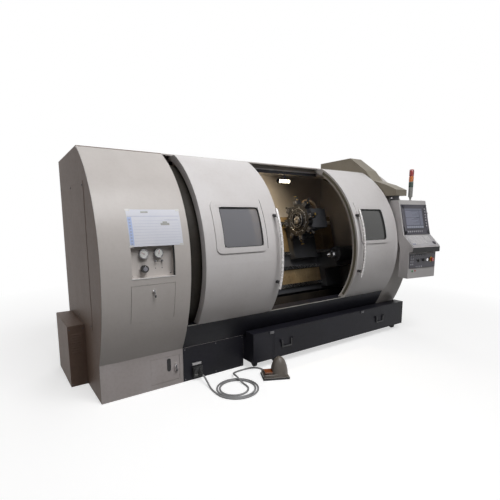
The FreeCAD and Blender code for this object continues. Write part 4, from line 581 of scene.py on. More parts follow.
def flat_plate(name: str, u: Span, v: Span, w: Span, corner: float = 0.0, rounding: float = 0.0008,
        steps: int = 5) -> Piece:
    """Plate in the flat XY plane with rounded corners, before it is seated.

    Args:
        name: the piece's name.
        u: its left and right end.
        v: its low and high end.
        w: its back and front.
        corner: the corners' radius.
        rounding: the bevel of its edges.
        steps: divisions of a corner.

    Returns:
        The piece.
    """
    low, high = (Vector(corner_place) for corner_place in zip(u, v, w))
    piece = cuboid(name, low, high)
    if corner > 0:
        points = piece.data.vertices
        choose(piece, Pick.EDGES, lambda edge: abs(points[edge.vertices[0]].co.z - points[
            edge.vertices[1]].co.z) > TINY)
        bpy.ops.mesh.bevel(offset=corner, segments=steps, affect="EDGES")
        leave_edit()
    return soften(piece, min(rounding, EDGE_SHARE * min(high - low)), 1)


def flat_rim(name: str, u: Span, v: Span, w: Span, bar: float, corner: float = 0.0,
        rounding: float = 0.0008) -> Piece:
    """Frame in the flat XY plane, before it is seated.

    Args:
        name: the piece's name.
        u: its left and right end.
        v: its low and high end.
        w: its back and front.
        bar: the frame's width.
        corner: the outer corners' radius.
        rounding: the bevel of its edges.

    Returns:
        The piece.
    """
    piece = flat_plate(name, u, v, w, corner, 0.0, 7)
    choose(piece, Pick.FACES, lambda face: abs(face.normal.z) > 0.9)
    bpy.ops.mesh.inset(thickness=bar)
    bpy.ops.mesh.delete(type="ONLY_FACE")
    bpy.context.tool_settings.mesh_select_mode = Pick.EDGES.value
    bpy.ops.mesh.select_all(action="DESELECT")
    bpy.ops.mesh.select_non_manifold()
    bpy.ops.mesh.bridge_edge_loops()
    bpy.ops.mesh.select_all(action="SELECT")
    bpy.ops.mesh.normals_make_consistent(inside=False)
    leave_edit()
    return soften(piece, min(rounding, EDGE_SHARE * bar, EDGE_SHARE * (w[1] - w[0])), 1)


def turned_up(name: str, steps: Sequence[Span], sides: int = 40, rounding: float = 0.0006) -> Piece:
    """Round piece on the Z axis, drawn up step by step as on a lathe, before it is seated.

    Args:
        name: the piece's name.
        steps: radius and height of each step.
        sides: how many sides it has.
        rounding: the bevel of its edges.

    Returns:
        The piece.
    """
    deselect()
    last, height = steps[0]
    bpy.ops.mesh.primitive_circle_add(vertices=sides, radius=last, fill_type="NGON", location=(0, 0, height))
    piece = settle(bpy.context.active_object, name)
    choose(piece, Pick.FACES, lambda face: True)
    for radius, place_up in steps[1:]:
        bpy.ops.mesh.extrude_region_move(TRANSFORM_OT_translate={"value": (0, 0, place_up - height)})
        share = radius / last
        bpy.ops.transform.resize(value=(share, share, 1), center_override=(0, 0, place_up))
        last, height = radius, place_up
    bpy.ops.mesh.select_all(action="SELECT")
    bpy.ops.mesh.normals_make_consistent(inside=False)
    leave_edit()
    return soften(piece, rounding, 1)


def knurled_up(name: str, steps: Sequence[Span], flutes: int = 24, depth: float = 0.0012) -> Piece:
    """Turned piece with every other side face pressed in as a grip."""
    piece = turned_up(name, steps, 2 * flutes, 0.0)
    count = 2 * flutes
    choose(piece, Pick.FACES, lambda face: abs(face.normal.z) < 0.3
        and int(degrees(atan2(face.center.y, face.center.x)) % 360 / 360 * count) % 2 == 0)
    bpy.ops.mesh.inset(thickness=depth * 0.4, depth=-depth, use_individual=True)
    leave_edit()
    return soften(piece, 0.0003, 1)


def cap_screw(name: str, radius: float, height: float) -> Piece:
    """Cap screw with a hexagon socket, on the Z axis, before it is seated."""
    piece = turned_up(name, ((radius, -0.0002), (radius, height * 0.7), (radius * 0.8, height)), 12, 0.0)
    choose(piece, Pick.FACES, lambda face: face.normal.z > 0.9 and face.center.z > 0.9 * height)
    bpy.ops.mesh.inset(thickness=radius * 0.35)
    bpy.ops.mesh.extrude_region_move(TRANSFORM_OT_translate={"value": (0, 0, -0.6 * height)})
    leave_edit()
    return soften(piece, 0)


def repeat(name: str, master: Piece, places: Sequence[Vector]) -> Piece:
    """Copies a piece to several places and joins the copies.

    Args:
        name: the joined piece's name.
        master: the piece, at the origin.
        places: where the copies go.

    Returns:
        The joined piece.
    """
    copies = []
    for spot in places:
        copy = master.copy()
        copy.data = master.data.copy()
        copy.location = Vector(spot)
        bpy.context.scene.collection.objects.link(copy)
        copies.append(copy)
    bpy.data.objects.remove(master)
    return join(name, copies)


def join(name: str, pieces: Iterable[Piece]) -> Piece:
    """Joins pieces into one object.

    Args:
        name: the joined piece's name.
        pieces: what is joined.

    Returns:
        The joined piece.
    """
    several = list(pieces)
    deselect()
    for piece in several:
        piece.select_set(True)
    bpy.context.view_layer.objects.active = several[0]
    if len(several) > 1:
        bpy.ops.object.join()
    return settle(bpy.context.active_object, name)


def dress(piece: Piece, finish: Finish, body: str = "root", slot: Optional[str] = None,
        instead: Sequence[str] = ()) -> Piece:
    """Gives a piece its finish and its body.

    Args:
        piece: the piece.
        finish: its finish.
        body: the body that it rides on.
        slot: the record's material slot, not used.
        instead: nodes that it stands for.

    Returns:
        The piece.
    """
    piece.data.materials.clear()
    piece.data.materials.append(paint.coat(finish))
    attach(piece, body)
    if instead:
        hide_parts(*instead)
    log.info("%s rides on %s", piece.name, body)
    return piece


class Seat:
    """Something that pieces made flat are seated on: across, up and proud of it."""

    def spot(self, u: float, v: float, w: float) -> Vector:
        """Point across, up and proud of the seat."""
        raise NotImplementedError

    def seat(self, piece: Piece, pitch: float = 0.0) -> Piece:
        """Carries a flat piece onto the seat.

        Args:
            piece: the piece, made in the XY plane.
            pitch: distance between the cuts that let it bend, or 0 for none.

        Returns:
            The piece.
        """
        if pitch:
            heights = [vertex.co.y for vertex in piece.data.vertices]
            count = int((max(heights) - min(heights)) / pitch)
            choose(piece, Pick.FACES, lambda face: True)
            for number in range(1, count + 1):
                cut = min(heights) + number * (max(heights) - min(heights)) / (count + 1)
                bpy.ops.mesh.select_all(action="SELECT")
                bpy.ops.mesh.bisect(plane_co=(0, cut, 0), plane_no=(0, 1, 0))
            leave_edit()
        for vertex in piece.data.vertices:
            vertex.co = self.spot(*vertex.co)
        piece.data.update()
        return piece

    def plate(self, name: str, u: Span, v: Span, w: Span, corner: float = 0.0, rounding: float = 0.0008,
            pitch: float = 0.0) -> Piece:
        """Seated plate with rounded corners."""
        return self.seat(flat_plate(name, u, v, w, corner, rounding), pitch)

    def rim(self, name: str, u: Span, v: Span, w: Span, bar: float, corner: float = 0.0,
            rounding: float = 0.0008, pitch: float = 0.0) -> Piece:
        """Seated frame with rounded corners."""
        return self.seat(flat_rim(name, u, v, w, bar, corner, rounding), pitch)

    def plates(self, name: str, size: Point, places: Sequence[Point], corner: float = 0.0,
            rounding: float = 0.0006) -> Piece:
        """Seated row of equal plates, each centred on its place."""
        half = [value / 2 for value in size]
        master = flat_plate(name, (-half[0], half[0]), (-half[1], half[1]), (0, size[2]), corner, rounding, 3)
        return self.seat(repeat(name, master, [Vector(spot) for spot in places]))

    def screws(self, name: str, places: Sequence[Point], radius: float = 0.005,
            height: float = 0.003) -> Piece:
        """Seated cap screws."""
        return self.seat(repeat(name, cap_screw(name, radius, height), [Vector(spot) for spot in places]))

    def turned(self, name: str, u: float, v: float, steps: Sequence[Span], sides: int = 40,
            rounding: float = 0.0006) -> Piece:
        """Seated turned piece that stands out of the seat."""
        return self.shifted(turned_up(name, steps, sides, rounding), u, v)

    def knurled(self, name: str, u: float, v: float, steps: Sequence[Span], flutes: int = 24,
            depth: float = 0.0012) -> Piece:
        """Seated grip."""
        return self.shifted(knurled_up(name, steps, flutes, depth), u, v)

    def shifted(self, piece: Piece, u: float, v: float) -> Piece:
        """Moves a flat piece across the seat and seats it."""
        return self.seat(shift(piece, Vector((u, v, 0.0))))

    def louvres(self, name: str, u: Span, low: float, count: int, pitch: float = 0.022,
            reach: float = 0.006) -> Piece:
        """Seated column of pressed louvres that shed water downwards."""
        master = flat_plate(name, (0, u[1] - u[0]), (0, pitch * 0.6), (0, reach), 0.0, 0.0)
        for vertex in master.data.vertices:
            if vertex.co.y > 0 and vertex.co.z > 0:
                vertex.co.z = 0.0004
        soften(master, 0.0008, 1)
        return self.seat(repeat(name, master, [Vector((u[0], low + number * pitch, 0))
            for number in range(count)]))

    def key_and_lock(self, name: str, u: float, v: float, body: str) -> None:
        """Cam lock with its key and a small ring left in it."""
        barrel = self.turned(f"{name}_barrel", u, v, ((0.011, 0.0), (0.011, 0.004), (0.008, 0.005),
            (0.008, 0.009)), 24)
        dress(barrel, CHROME, body)
        bow = flat_plate(f"{name}_key", (-0.0012, 0.0012), (-0.011, 0.011), (0.008, 0.026), 0.0, 0.0004)
        dress(self.shifted(bow, u, v), IRON, body)
        ring = hoop(f"{name}_ring", Vector((0, -0.020, 0.0215)), Vector((1, 0, 0.25)), 0.013, 0.0013, 24)
        dress(self.shifted(ring, u, v), TOOL, body)
        tag = flat_plate(f"{name}_tag", (-0.002, 0.012), (-0.052, -0.031), (0.014, 0.0165), 0.0, 0.0006)
        dress(self.shifted(tag, u, v), PLASTIC, body)


@dataclass
class Face(Seat):
    """Flat seat with its origin and its directions across and up."""

    origin: Vector
    right: Vector
    up: Vector

    def spot(self, u: float, v: float, w: float) -> Vector:
        """Point across, up and proud of the face."""
        return self.origin + self.right * u + self.up * v + self.right.cross(self.up) * w


def front_at(y: float) -> Face:
    """Seat that faces the front, at a depth behind the plinth's front."""
    return Face(place(0, y, 0), X_WAY, Z_WAY)


@dataclass
class FrontCurve(Seat):
    """Seat on a curved front, whose side profile is two arcs that stand upright at the nose."""

    nose: float
    height: float
    upper: float
    lower: float

    def y(self, z: float) -> float:
        """Depth of the surface behind the plinth's front at a height."""
        radius = self.upper if z > self.height else self.lower
        return self.nose + radius - sqrt(radius ** 2 - (z - self.height) ** 2)

    def spot(self, u: float, v: float, w: float) -> Vector:
        """Point at a distance from the left and a height, proud of the surface."""
        radius = self.upper if v > self.height else self.lower
        rise = (v - self.height) / radius
        return place(u, self.y(v), v) + Vector((0.0, -sqrt(1 - rise ** 2), rise)) * w


CABINET_CURVE = FrontCurve(-0.215, 1.085, 1.0361, 1.4935)
DOOR_CURVE = FrontCurve(-0.303, 1.065, 1.0361, 0.890)


# Room, camera and cable


@dataclass
class Studio:
    """Floor, lights, world and camera."""

    eye: Point = (-2.471, -3.852, 1.475)
    turn_deg: Point = (81.35, 0.0, -35.49)
    lens_mm: float = 27.21
    sensor_mm: float = 36.0
    shift: Span = (-0.0112, 0.0426)
    floor_size: float = 60.0
    floor_drop: float = 0.0005
    floor_pale: Colour = (0.62, 0.62, 0.62)
    floor_lift: Colour = (0.60, 0.60, 0.60)
    floor_dim: Colour = (0.09, 0.085, 0.08)
    floor_fade: Span = (2.4, 5.0)
    ambient: Span = (0.03, 0.15)
    ambient_heights: Span = (-0.3, 1.0)
    ambient_tint: Colour = (0.95, 0.93, 0.92)
    lamps: tuple = (
        ("key_lamp", (-0.4, -4.9, 6.4), (-1.2, -1.0, 1.2), 3.6, 138.0, 120.0),
        ("top_lamp", (-0.6, -1.8, 6.4), (-0.6, -0.6, 1.0), 5.0, 26.0, 180.0),
        ("back_lamp", (1.5, 5.0, 4.0), (0.0, 0.0, 0.9), 4.0, 110.0, 180.0),
        ("left_lamp", (-6.5, -1.0, 3.2), (0.0, 0.0, 0.9), 3.0, 8.0, 180.0))

    @staticmethod
    def link(name: str, data: bpy.types.ID, spot: Point) -> Piece:
        """Puts a camera or a lamp in the scene."""
        holder = bpy.data.objects.new(name, data)
        holder.location = spot
        bpy.context.scene.collection.objects.link(holder)
        return holder

    def camera(self) -> None:
        """Places the camera where the photograph was taken."""
        data = bpy.data.cameras.new("camera")
        data.lens = self.lens_mm
        data.sensor_width = self.sensor_mm
        data.shift_x, data.shift_y = self.shift
        eye = self.link("camera", data, self.eye)
        eye.rotation_euler = [radians(value) for value in self.turn_deg]
        bpy.context.scene.camera = eye

    def floor(self) -> None:
        """Lays a plain pale floor that keeps the shadow."""
        deselect()
        bpy.ops.mesh.primitive_plane_add(size=self.floor_size, location=(0, 0, -self.floor_drop))
        floor = bpy.context.active_object
        floor.name = "floor"
        weave, shader = paint.fresh("pale_floor")
        weave.tree.nodes.remove(shader)
        pale = weave.node("BsdfDiffuse", {"Color": (*self.floor_pale, 1)})
        lift = weave.node("Emission", {"Color": (*self.floor_lift, 1)})
        near = weave.node("AddShader", {0: pale.outputs[0], 1: lift.outputs[0]})
        reach = weave.vector("LENGTH", weave.node("TexCoord").outputs["Object"]).outputs["Value"]
        ground = weave.node("MixShader", {"Fac": weave.ramp(reach, *self.floor_fade), 1: near.outputs[0],
            2: weave.node("Emission").outputs[0]})
        dim = weave.node("BsdfDiffuse", {"Color": (*self.floor_dim, 1)})
        mix = weave.node("MixShader", {"Fac": weave.seen_ray(), 1: dim.outputs[0], 2: ground.outputs[0]})
        weave.feed(weave.tree.nodes["Material Output"], {"Surface": mix.outputs[0]})
        floor.data.materials.append(paint.kept["pale_floor"])

    def world(self) -> None:
        """Sets a white background and a plain grey ambient light, stronger from above."""
        world = bpy.data.worlds.new("studio")
        bpy.context.scene.world = world
        world.use_nodes = True
        weave = Weave(world.node_tree)
        up = weave.node("SeparateXYZ", {"Vector": weave.node("TexCoord").outputs["Generated"]}).outputs["Z"]
        strength = weave.ramp(up, *self.ambient_heights, *self.ambient)
        ambient = weave.feed(weave.tree.nodes["Background"], {"Color": (*self.ambient_tint, 1),
            "Strength": strength})
        white = weave.node("Background", {"Color": (1, 1, 1, 1)})
        mix = weave.node("MixShader", {"Fac": weave.seen_ray(), 1: ambient.outputs[0], 2: white.outputs[0]})
        weave.feed(weave.tree.nodes["World Output"], {"Surface": mix.outputs[0]})

    def lights(self) -> None:
        """Hangs soft lamps in front, above and behind."""
        for name, spot, aim, size, watts, spread in self.lamps:
            data = bpy.data.lights.new(name, "AREA")
            data.size = size
            data.energy = watts
            data.spread = radians(spread)
            lamp = self.link(name, data, spot)
            lamp.rotation_euler = (Vector(aim) - Vector(spot)).to_track_quat("-Z", "Y").to_euler()

    def build(self) -> None:
        """Sets up the whole studio."""
        bpy.context.scene.view_settings.view_transform = "Standard"
        self.camera()
        self.floor()
        self.world()
        self.lights()


@dataclass
class PedalCable:
    """Cable from the outlet over a loose coil to the foot pedal."""

    radius: float = 0.008
    floor_gap: float = 0.0003
    gland: Point = CABLE_GLAND
    coil: Span = (1.000, -0.385)
    coil_radii: tuple[float, ...] = (0.186, 0.174, 0.162, 0.150, 0.118)
    steps: int = 6
    pedal_gland: Span = (-0.078, 0.102)
    last_run: float = 0.030
    length: float = 3.43

    def lead(self) -> list[Vector]:
        """Points from the gland down to the coil."""
        start = place(*self.gland)
        from_gland = ((0, 0, 0), (0, -0.038, 0), (-0.001, -0.077, -0.008), (-0.004, -0.119, -0.026),
            (-0.009, -0.163, -0.043))
        coil = place(self.coil[0] - self.coil_radii[0], self.coil[1] + 2 * self.radius, self.low)
        to_coil = ((0.006, 0.104, 0), (0, 0.050, 0))
        return [start + Vector(step) for step in from_gland] + [coil + Vector(step) for step in to_coil]

    @property
    def low(self) -> float:
        """Height of the cable's middle on the floor."""
        return self.radius + self.floor_gap

    def turns(self) -> list[Vector]:
        """Points of the coil's half turns, each a little outside its arc."""
        points = []
        x = self.coil[0] - self.coil_radii[0]
        way = 1
        reach = 0.75 + 0.25 * cos(pi / self.steps)
        for radius in self.coil_radii:
            middle = x + way * radius
            for step in range(self.steps):
                angle = (step + 0.5) * pi / self.steps
                across = middle - way * radius / reach * cos(angle)
                along = self.coil[1] - way * radius / reach * sin(angle)
                points.append(place(across, along, self.low))
            x += 2 * way * radius
            way = -way
        return points

    def tail(self) -> list[Vector]:
        """Points from the coil over its turns and round to the pedal."""
        coil = place(*self.coil, self.low)
        from_coil = ((0.098, 0.050, 0), (0.095, 0.088, 0.0147), (0.091, 0.126, 0.0317),
            (0.093, 0.168, 0.0337), (0.106, 0.212, 0.0257), (0.131, 0.252, 0.0117), (0.171, 0.281, 0.0017),
            (0.234, 0.290, 0))
        turn = radians(PEDAL_TURN_DEG)
        along = Vector((-sin(turn), cos(turn), 0.0))
        across = Vector((cos(turn), sin(turn), 0.0))
        middle = place(*PEDAL_MIDDLE, self.low)
        end = middle + across * self.pedal_gland[0] + along * self.pedal_gland[1]
        before = end + along * self.last_run
        to_pedal = ((-0.121, 0.127, 0), (-0.071, 0.122, 0), (-0.032, 0.103, 0), (-0.006, 0.072, 0),
            (0.0044, 0.0357, 0))
        route = [coil + Vector(step) for step in from_coil] + [before + Vector(step) for step in to_pedal]
        return route + [before, end]

    def build(self) -> None:
        cable = spline("pedal_cable", self.lead() + self.turns() + self.tail(), self.radius)
        dress(cable, SHEATH, "root", "cable_grey", ("pedal_cable_lead", "pedal_cable_coil",
            "pedal_cable_tail"))


# Carried-over nodes


class NodeFinishes:
    """Gives every carried-over node its finish."""

    TABLE: dict[Finish, tuple[str, ...]] = {
        COVER: ("cabinet_front_skin", "right_end_cabinet", "roof_panel", "access_door", "rear_cabinet"),
        # The pendant arm takes the painted shade of its brown finish.
        SHADED_ARM: ("pendant_arm",),
        DOOR: ("left_door_shell", "right_door_shell", "left_door_window_frame", "right_door_window_frame"),
        PLINTH: ("plinth_panels", "plinth_door"),
        # The cabinet's shell and the coolant box take the painted shade of the left-facing faces.
        SHADED_SIDE: ("cabinet_shell", "coolant_box"),
        RAIL: ("door_rail",),
        DARK: ("apron_panel", "coolant_tank", "chip_drawer"),
        CASTING: ("base_frame", "bed", "headstock_housing", "spindle_motor", "carriage_saddle", "cross_slide",
                  "tailstock_body"),
        GUARD: ("fixed_guards", "chip_chute"),
        GROUND: ("bed_ways", "live_centre"),
        CHUCK: ("spindle_shaft", "chuck_body"),
        CHROME: ("tailstock_quill",),
        BAR: ("left_door_handle", "right_door_handle"),
        TOOL: ("chuck_jaw_1", "chuck_jaw_2", "chuck_jaw_3"),
        TURRET: ("turret_disc", "turret_tools"),
        IRON: ("motor_pulley",),
        RUBBER: ("drive_belt", "drawer_wheels"),
        PLASTIC: ("cable_outlet", "override_dial", "regulator_knob", "drawer_pulls"),
        DIAL: ("pressure_gauges",),
        PENDANT: ("pendant_housing",),
        BEZEL: ("pendant_screen",),
        KEY: ("pendant_keys",),
        RED: ("emergency_stop",),
        STEM: ("signal_tower",),
        TREADLE: ("pedal_treadle",),
    }
    # The two panes are the same smoked glass: the left tint is a painted reflection, lighter, and the right one
    # painted shade, darker; with half the light passing, the tint shows as flat grey.
    PANE_TINTS_LIGHT_AND_SHADE: dict[str, Colour] = {"left": (0.33, 0.33, 0.36), "right": (0.14, 0.14, 0.135)}
    PANE_PASS: float = 0.50
    LAMP: Colour = (1.0, 0.90, 0.66)
    LAMP_STRENGTH: float = 6.0

    def build(self) -> None:
        """Paints the nodes."""
        for finish, names in self.TABLE.items():
            for name in names:
                self.assign(name, paint.coat(finish))
        for side, tint in self.PANE_TINTS_LIGHT_AND_SHADE.items():
            self.assign(f"{side}_door_glass", paint.glass(f"{side}_smoked_glass", tint, self.PANE_PASS))
        paint.glow("lamp_light", self.LAMP, self.LAMP_STRENGTH)

    @staticmethod
    def assign(name: str, material: bpy.types.Material) -> None:
        """Puts a material in a node's slots."""
        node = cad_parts[name]
        if not node.material_slots:
            node.data.materials.append(material)
        for holder in node.material_slots:
            holder.material = material


# Sub-assemblies


FRONT_FACE = front_at(0)
LEFT_FACE = Face(place(0, 0, 0), FORWARD, Z_WAY)


@dataclass
class ServicePanel:
    """Gauges, regulator grip, setup sheet, flap and plinth door of the left cabinet."""

    recess_back: float = -0.156
    recess: Area = ((0.219, 0.556), (1.001, 1.238))
    gauges: tuple[Span, ...] = ((0.323, 1.179), (0.439, 1.179))
    gauge_radius: float = 0.036
    ticks: int = 11
    fittings: tuple[Span, ...] = ((0.419, 1.119), (0.471, 1.119))
    knob: Span = (0.323, 1.067)
    sheet: Area = ((0.217, 0.633), (1.237, 1.507))
    flap_lock: Span = (0.3825, 0.896)
    plinth_lock: Span = (0.624, 0.175)
    slot: Area = ((0.545, 0.579), (0.133, 0.249))

    def gauge_row(self) -> None:
        """Builds both pressure gauges with rim, dial, ticks and pointer, and the fittings."""
        back = front_at(self.recess_back)
        cups, rims, faces, marks, pointers, hubs = [], [], [], [], [], []
        r = self.gauge_radius
        for number, (u, v) in enumerate(self.gauges):
            cups.append(back.turned("cup", u, v, ((r * 0.86, 0.0), (r * 0.86, 0.020), (r * 0.97, 0.022),
                (r * 0.97, 0.027))))
            rims.append(hoop("rim", back.spot(u, v, 0.0275), FORWARD, r * 0.90, 0.0036))
            faces.append(back.turned("face", u, v, ((r * 0.86, 0.026), (r * 0.86, 0.0282))))
            for step in range(self.ticks):
                end = r * (0.80 if step % 5 else 0.83)
                tick = flat_plate("tick", (r * 0.62, end), (-0.0006, 0.0006), (0.0282, 0.0286), 0.0, 0.0)
                marks.append(back.shifted(spin(tick, radians(225 - step * 27)), u, v))
            hand = flat_plate("hand", (-0.006, r * 0.66), (-0.0009, 0.0009), (0.0288, 0.0294), 0.0, 0.0002)
            pointers.append(back.shifted(spin(hand, radians(150 - 75 * number)), u, v))
            hubs.append(back.turned("hub", u, v, ((0.0034, 0.0286), (0.0030, 0.0312), (0.0012, 0.0318)), 16))
        for name, pieces, finish, *rest in (
                ("gauge_cups", cups, PLASTIC, "black_plastic", ("pressure_gauges",)),
                ("gauge_rims", rims, IRON, "bright_chrome"), ("gauge_dials", faces, DIAL, "gauge_face"),
                ("gauge_ticks", marks, PLASTIC), ("gauge_pointers", pointers, RED), ("gauge_hubs", hubs, PLASTIC)):
            dress(join(name, pieces), finish, "root", *rest)
        steps = ((0.009, 0.0), (0.009, 0.008), (0.0055, 0.009), (0.0055, 0.022), (0.004, 0.025))
        nuts = [back.turned("nut", u, v, steps, 6) for u, v in self.fittings]
        dress(join("air_fittings", nuts), IRON, "root", "bright_chrome")
        places = [(0.236, 1.016, 0), (0.538, 1.016, 0), (0.419, 1.062, 0), (0.471, 1.062, 0)]
        dress(back.screws("recess_screws", places, 0.004, 0.0025), TOOL)

    def regulator(self) -> None:
        """Builds the fluted regulator grip with its grey middle."""
        back = front_at(self.recess_back)
        u, v = self.knob
        grip = back.knurled("regulator_grip", u, v, ((0.011, 0.0006), (0.011, 0.012), (0.026, 0.0125),
            (0.0285, 0.018), (0.0285, 0.046), (0.0262, 0.0495)), 20)
        dress(grip, PLASTIC, "regulator_knob", "black_plastic", ("regulator_knob",))
        cap = back.turned("regulator_middle", u, v, ((0.016, 0.0490), (0.016, 0.0508), (0.012, 0.0518)), 32)
        dress(cap, KEY, "regulator_knob")
        mark = back.plate("regulator_mark", (u - 0.0012, u + 0.0012), (v + 0.017, v + 0.024),
            (0.0492, 0.0502))
        dress(mark, DIAL, "regulator_knob")

    def trims(self) -> None:
        """Builds the lip under the recess, painted bright as a highlight, and a painted shadow strip at its right
        side.
        """
        (left, right), (low, high) = self.recess
        # Painted highlight: a white strip where the recess's sill catches the light.
        lip = CABINET_CURVE.plate("recess_lip_highlight", (left - 0.002, right + 0.002), (low - 0.007, low - 0.0005),
            (-0.001, 0.0022), 0.0, 0.001)
        dress(lip, TRIM)
        # Painted shadow: a dark strip on the recess's right wall.
        gasket = CABINET_CURVE.plate("recess_side_shadow", (right - 0.0035, right - 0.0005), (low, high),
            (-0.030, 0.0006), 0.0, 0.0004, 0.04)
        dress(gasket, RUBBER)

    def setup_sheet(self) -> None:
        """Builds the paper sheet with its ruled table and its tapes."""
        (left, right), (low, high) = self.sheet
        paper = CABINET_CURVE.plate("setup_sheet", (left, right), (low, high), (PANEL_GAP, 0.0009), 0.002,
            0.0, 0.02)
        dress(paper, PAPER)
        table = [(left + 0.040, right - 0.012, low + 0.018 + step * 0.021, 0.0011, 0.00115)
            for step in range(9)]
        table = [(left + 0.004, right - 0.006, high - 0.052, 0.0035, 0.00115)] + table
        table.append((right - 0.130, right - 0.020, high - 0.078, 0.0025, 0.00118))
        rules = [CABINET_CURVE.plate("rule", (start, end), (up, up + thick), (0.0009, proud), 0.0, 0.0)
            for start, end, up, thick, proud in table]
        dress(join("sheet_rules", rules), FAINT_INK)
        column = CABINET_CURVE.plate("sheet_column", (left + 0.004, left + 0.034),
            (low + 0.006, high - 0.056), (0.0009, 0.0011), 0.0, 0.0, 0.03)
        dress(column, BLUE_TINT)
        cells = CABINET_CURVE.plates("sheet_cells", (0.013, 0.011, 0.0003),
            [(left + 0.019, low + 0.020 + step * 0.022, 0.00105) for step in range(9)])
        dress(cells, INK)
        sketch = [CABINET_CURVE.plate("part", u, v, (0.0009, 0.0012))
            for u, v in (((right - 0.165, right - 0.095), (high - 0.118, high - 0.101)),
            ((right - 0.148, right - 0.112), (high - 0.101, high - 0.090)),
            ((left + 0.110, left + 0.165), (high - 0.026, high - 0.014)))]
        dress(join("sheet_sketch", sketch), STEM)
        tapes = CABINET_CURVE.plates("sheet_tapes", (0.034, 0.016, 0.0003),
            [(x, z, 0.0010) for x in (left + 0.012, right - 0.012) for z in (low + 0.004, high - 0.004)])
        dress(tapes, TAPE)

    def locks(self) -> None:
        """Builds the keyed locks of both flaps and the black slot cup of the plinth door."""
        seat = front_at(CABINET_CURVE.y(self.flap_lock[1]))
        seat.key_and_lock("flap_lock", *self.flap_lock, "access_door")
        FRONT_FACE.key_and_lock("plinth_lock", *self.plinth_lock, "plinth_door")
        cup = FRONT_FACE.rim("slot_rim", *self.slot, (-0.001, 0.0018), 0.0035, 0.016)
        dress(cup, PLASTIC, "plinth_door", "black_plastic")
        (left, right), (low, high) = self.slot
        back = FRONT_FACE.plate("slot_back", (left + 0.0025, right - 0.0025), (low + 0.0025, high - 0.0025),
            (-0.0010, 0.0007), 0.014)
        dress(back, RUBBER, "plinth_door")

    def build(self) -> None:
        """Builds the whole panel."""
        self.gauge_row()
        self.regulator()
        self.trims()
        self.setup_sheet()
        self.locks()


@dataclass
class CabinetSides:
    """Seams, service panel and side box trim of the left cabinet, and the dark lower front."""

    side_panel: Area = ((-1.130, -0.150), (0.560, 1.720))
    dark_sheet: Area = ((0.6915, 1.3265), (0.002, 0.3115))
    box_left: float = -0.136
    box_front: float = 0.465
    box_back: float = 1.044
    box_top: float = 0.534

    def build(self) -> None:
        """Builds the trim."""
        # The side panel is cover paint, painted dark brown as shade.
        panel = LEFT_FACE.plate("side_panel", *self.side_panel, (0.0, 0.0022), 0.012, 0.0012)
        dress(panel, SHADED_SIDE, "root", "cover_paint")
        (back, front), (low, high) = self.side_panel
        places = [(y, z, 0.0022) for y in (back + 0.03, (back + front) / 2, front - 0.03)
            for z in (low + 0.03, high - 0.03)]
        dress(LEFT_FACE.screws("side_screws", places, 0.007, 0.004), TOOL)
        sheet = FRONT_FACE.plate("dark_lower_sheet", *self.dark_sheet, (TRIM_GAP, 0.0016), 0.0, 0.0006)
        dress(sheet, DARK, "root", "dark_paint")
        rivets = [(x, z, 0.0016) for x in (0.71, 1.02, 1.31) for z in (0.02, 0.293)]
        dress(FRONT_FACE.screws("lower_sheet_screws", rivets, 0.006, 0.003), TOOL)
        top = Face(place(0, 0, self.box_top), X_WAY, Y_WAY)
        # The side box's lid and vents take the same painted shade.
        lid = top.plate("side_box_lid", (self.box_left + 0.001, -0.001),
            (self.box_front + 0.001, self.box_back - 0.001), (TRIM_GAP, 0.0030), 0.006, 0.001)
        dress(lid, SHADED_SIDE)
        box_face = front_at(self.box_front)
        vents = box_face.louvres("side_box_vents", (self.box_left + 0.025, -0.025), 0.30, 8)
        dress(vents, SHADED_SIDE)
        dress(box_face.screws("side_box_screws", [(x, z, 0) for x in (-0.122, -0.014) for z in (0.02, 0.505)],
            0.005, 0.003), TOOL)


@dataclass
class DoorDress:
    """Gasket, standoffs, closing lip and painted shadow line of one sliding door."""

    side: str
    opening: Area
    pane: Area
    handle: float
    shadow_line: float
    lip: Span
    lip_finish: Finish
    feet: Span = (0.860, 1.458)
    bar_off: float = 0.058

    def build(self) -> None:
        """Builds what dresses the door."""
        body = f"{self.side}_door"
        (left, right), (low, high) = self.opening
        (pane_left, pane_right), (pane_low, pane_high) = self.pane
        strips = [((left, pane_left + 0.004), (low, high)), ((left, right), (pane_high - 0.004, high))]
        if pane_low > low:
            strips.append(((left, right), (low, pane_low + 0.004)))
        border = join(f"{self.side}_window_border", [DOOR_CURVE.plate("strip", u, v, (-0.0048, 0.0086), 0.0,
            0.0006, 0.03) for u, v in strips])
        dress(border, DOOR, body, "window_frame")
        gasket = DOOR_CURVE.rim(f"{self.side}_window_gasket", *self.pane, (-0.0048, 0.0096), 0.007, 0.036,
            0.0015, 0.03)
        dress(gasket, RUBBER, body, "black_plastic")
        # Painted shadow: a dark strip beside the window, where the raised frame's edge casts its shadow.
        shadow_line = DOOR_CURVE.plate(f"{self.side}_door_shadow_line", (self.shadow_line, self.shadow_line + 0.0045), (1.175, 1.600),
            (TRIM_GAP, 0.0012), 0.001, 0.0003, 0.03)
        dress(shadow_line, SEAM_SHADOW, body)
        for name, height in zip(("low", "high"), self.feet):
            seat = front_at(DOOR_CURVE.y(height))
            standoff = seat.turned(f"{self.side}_handle_{name}_standoff", self.handle, height,
                ((0.0148, -0.006), (0.0148, 0.004), (0.0146, 0.006), (0.0146, self.bar_off - 0.020),
                (0.0152, self.bar_off - 0.018), (0.0152, self.bar_off - 0.008)), 32)
            dress(standoff, PLASTIC, body, "black_plastic")
        lip = DOOR_CURVE.plate(f"{self.side}_closing_lip", self.lip, (0.560, 1.970), (-0.050, -0.020), 0.0,
            0.001, 0.03)
        dress(lip, self.lip_finish, body)


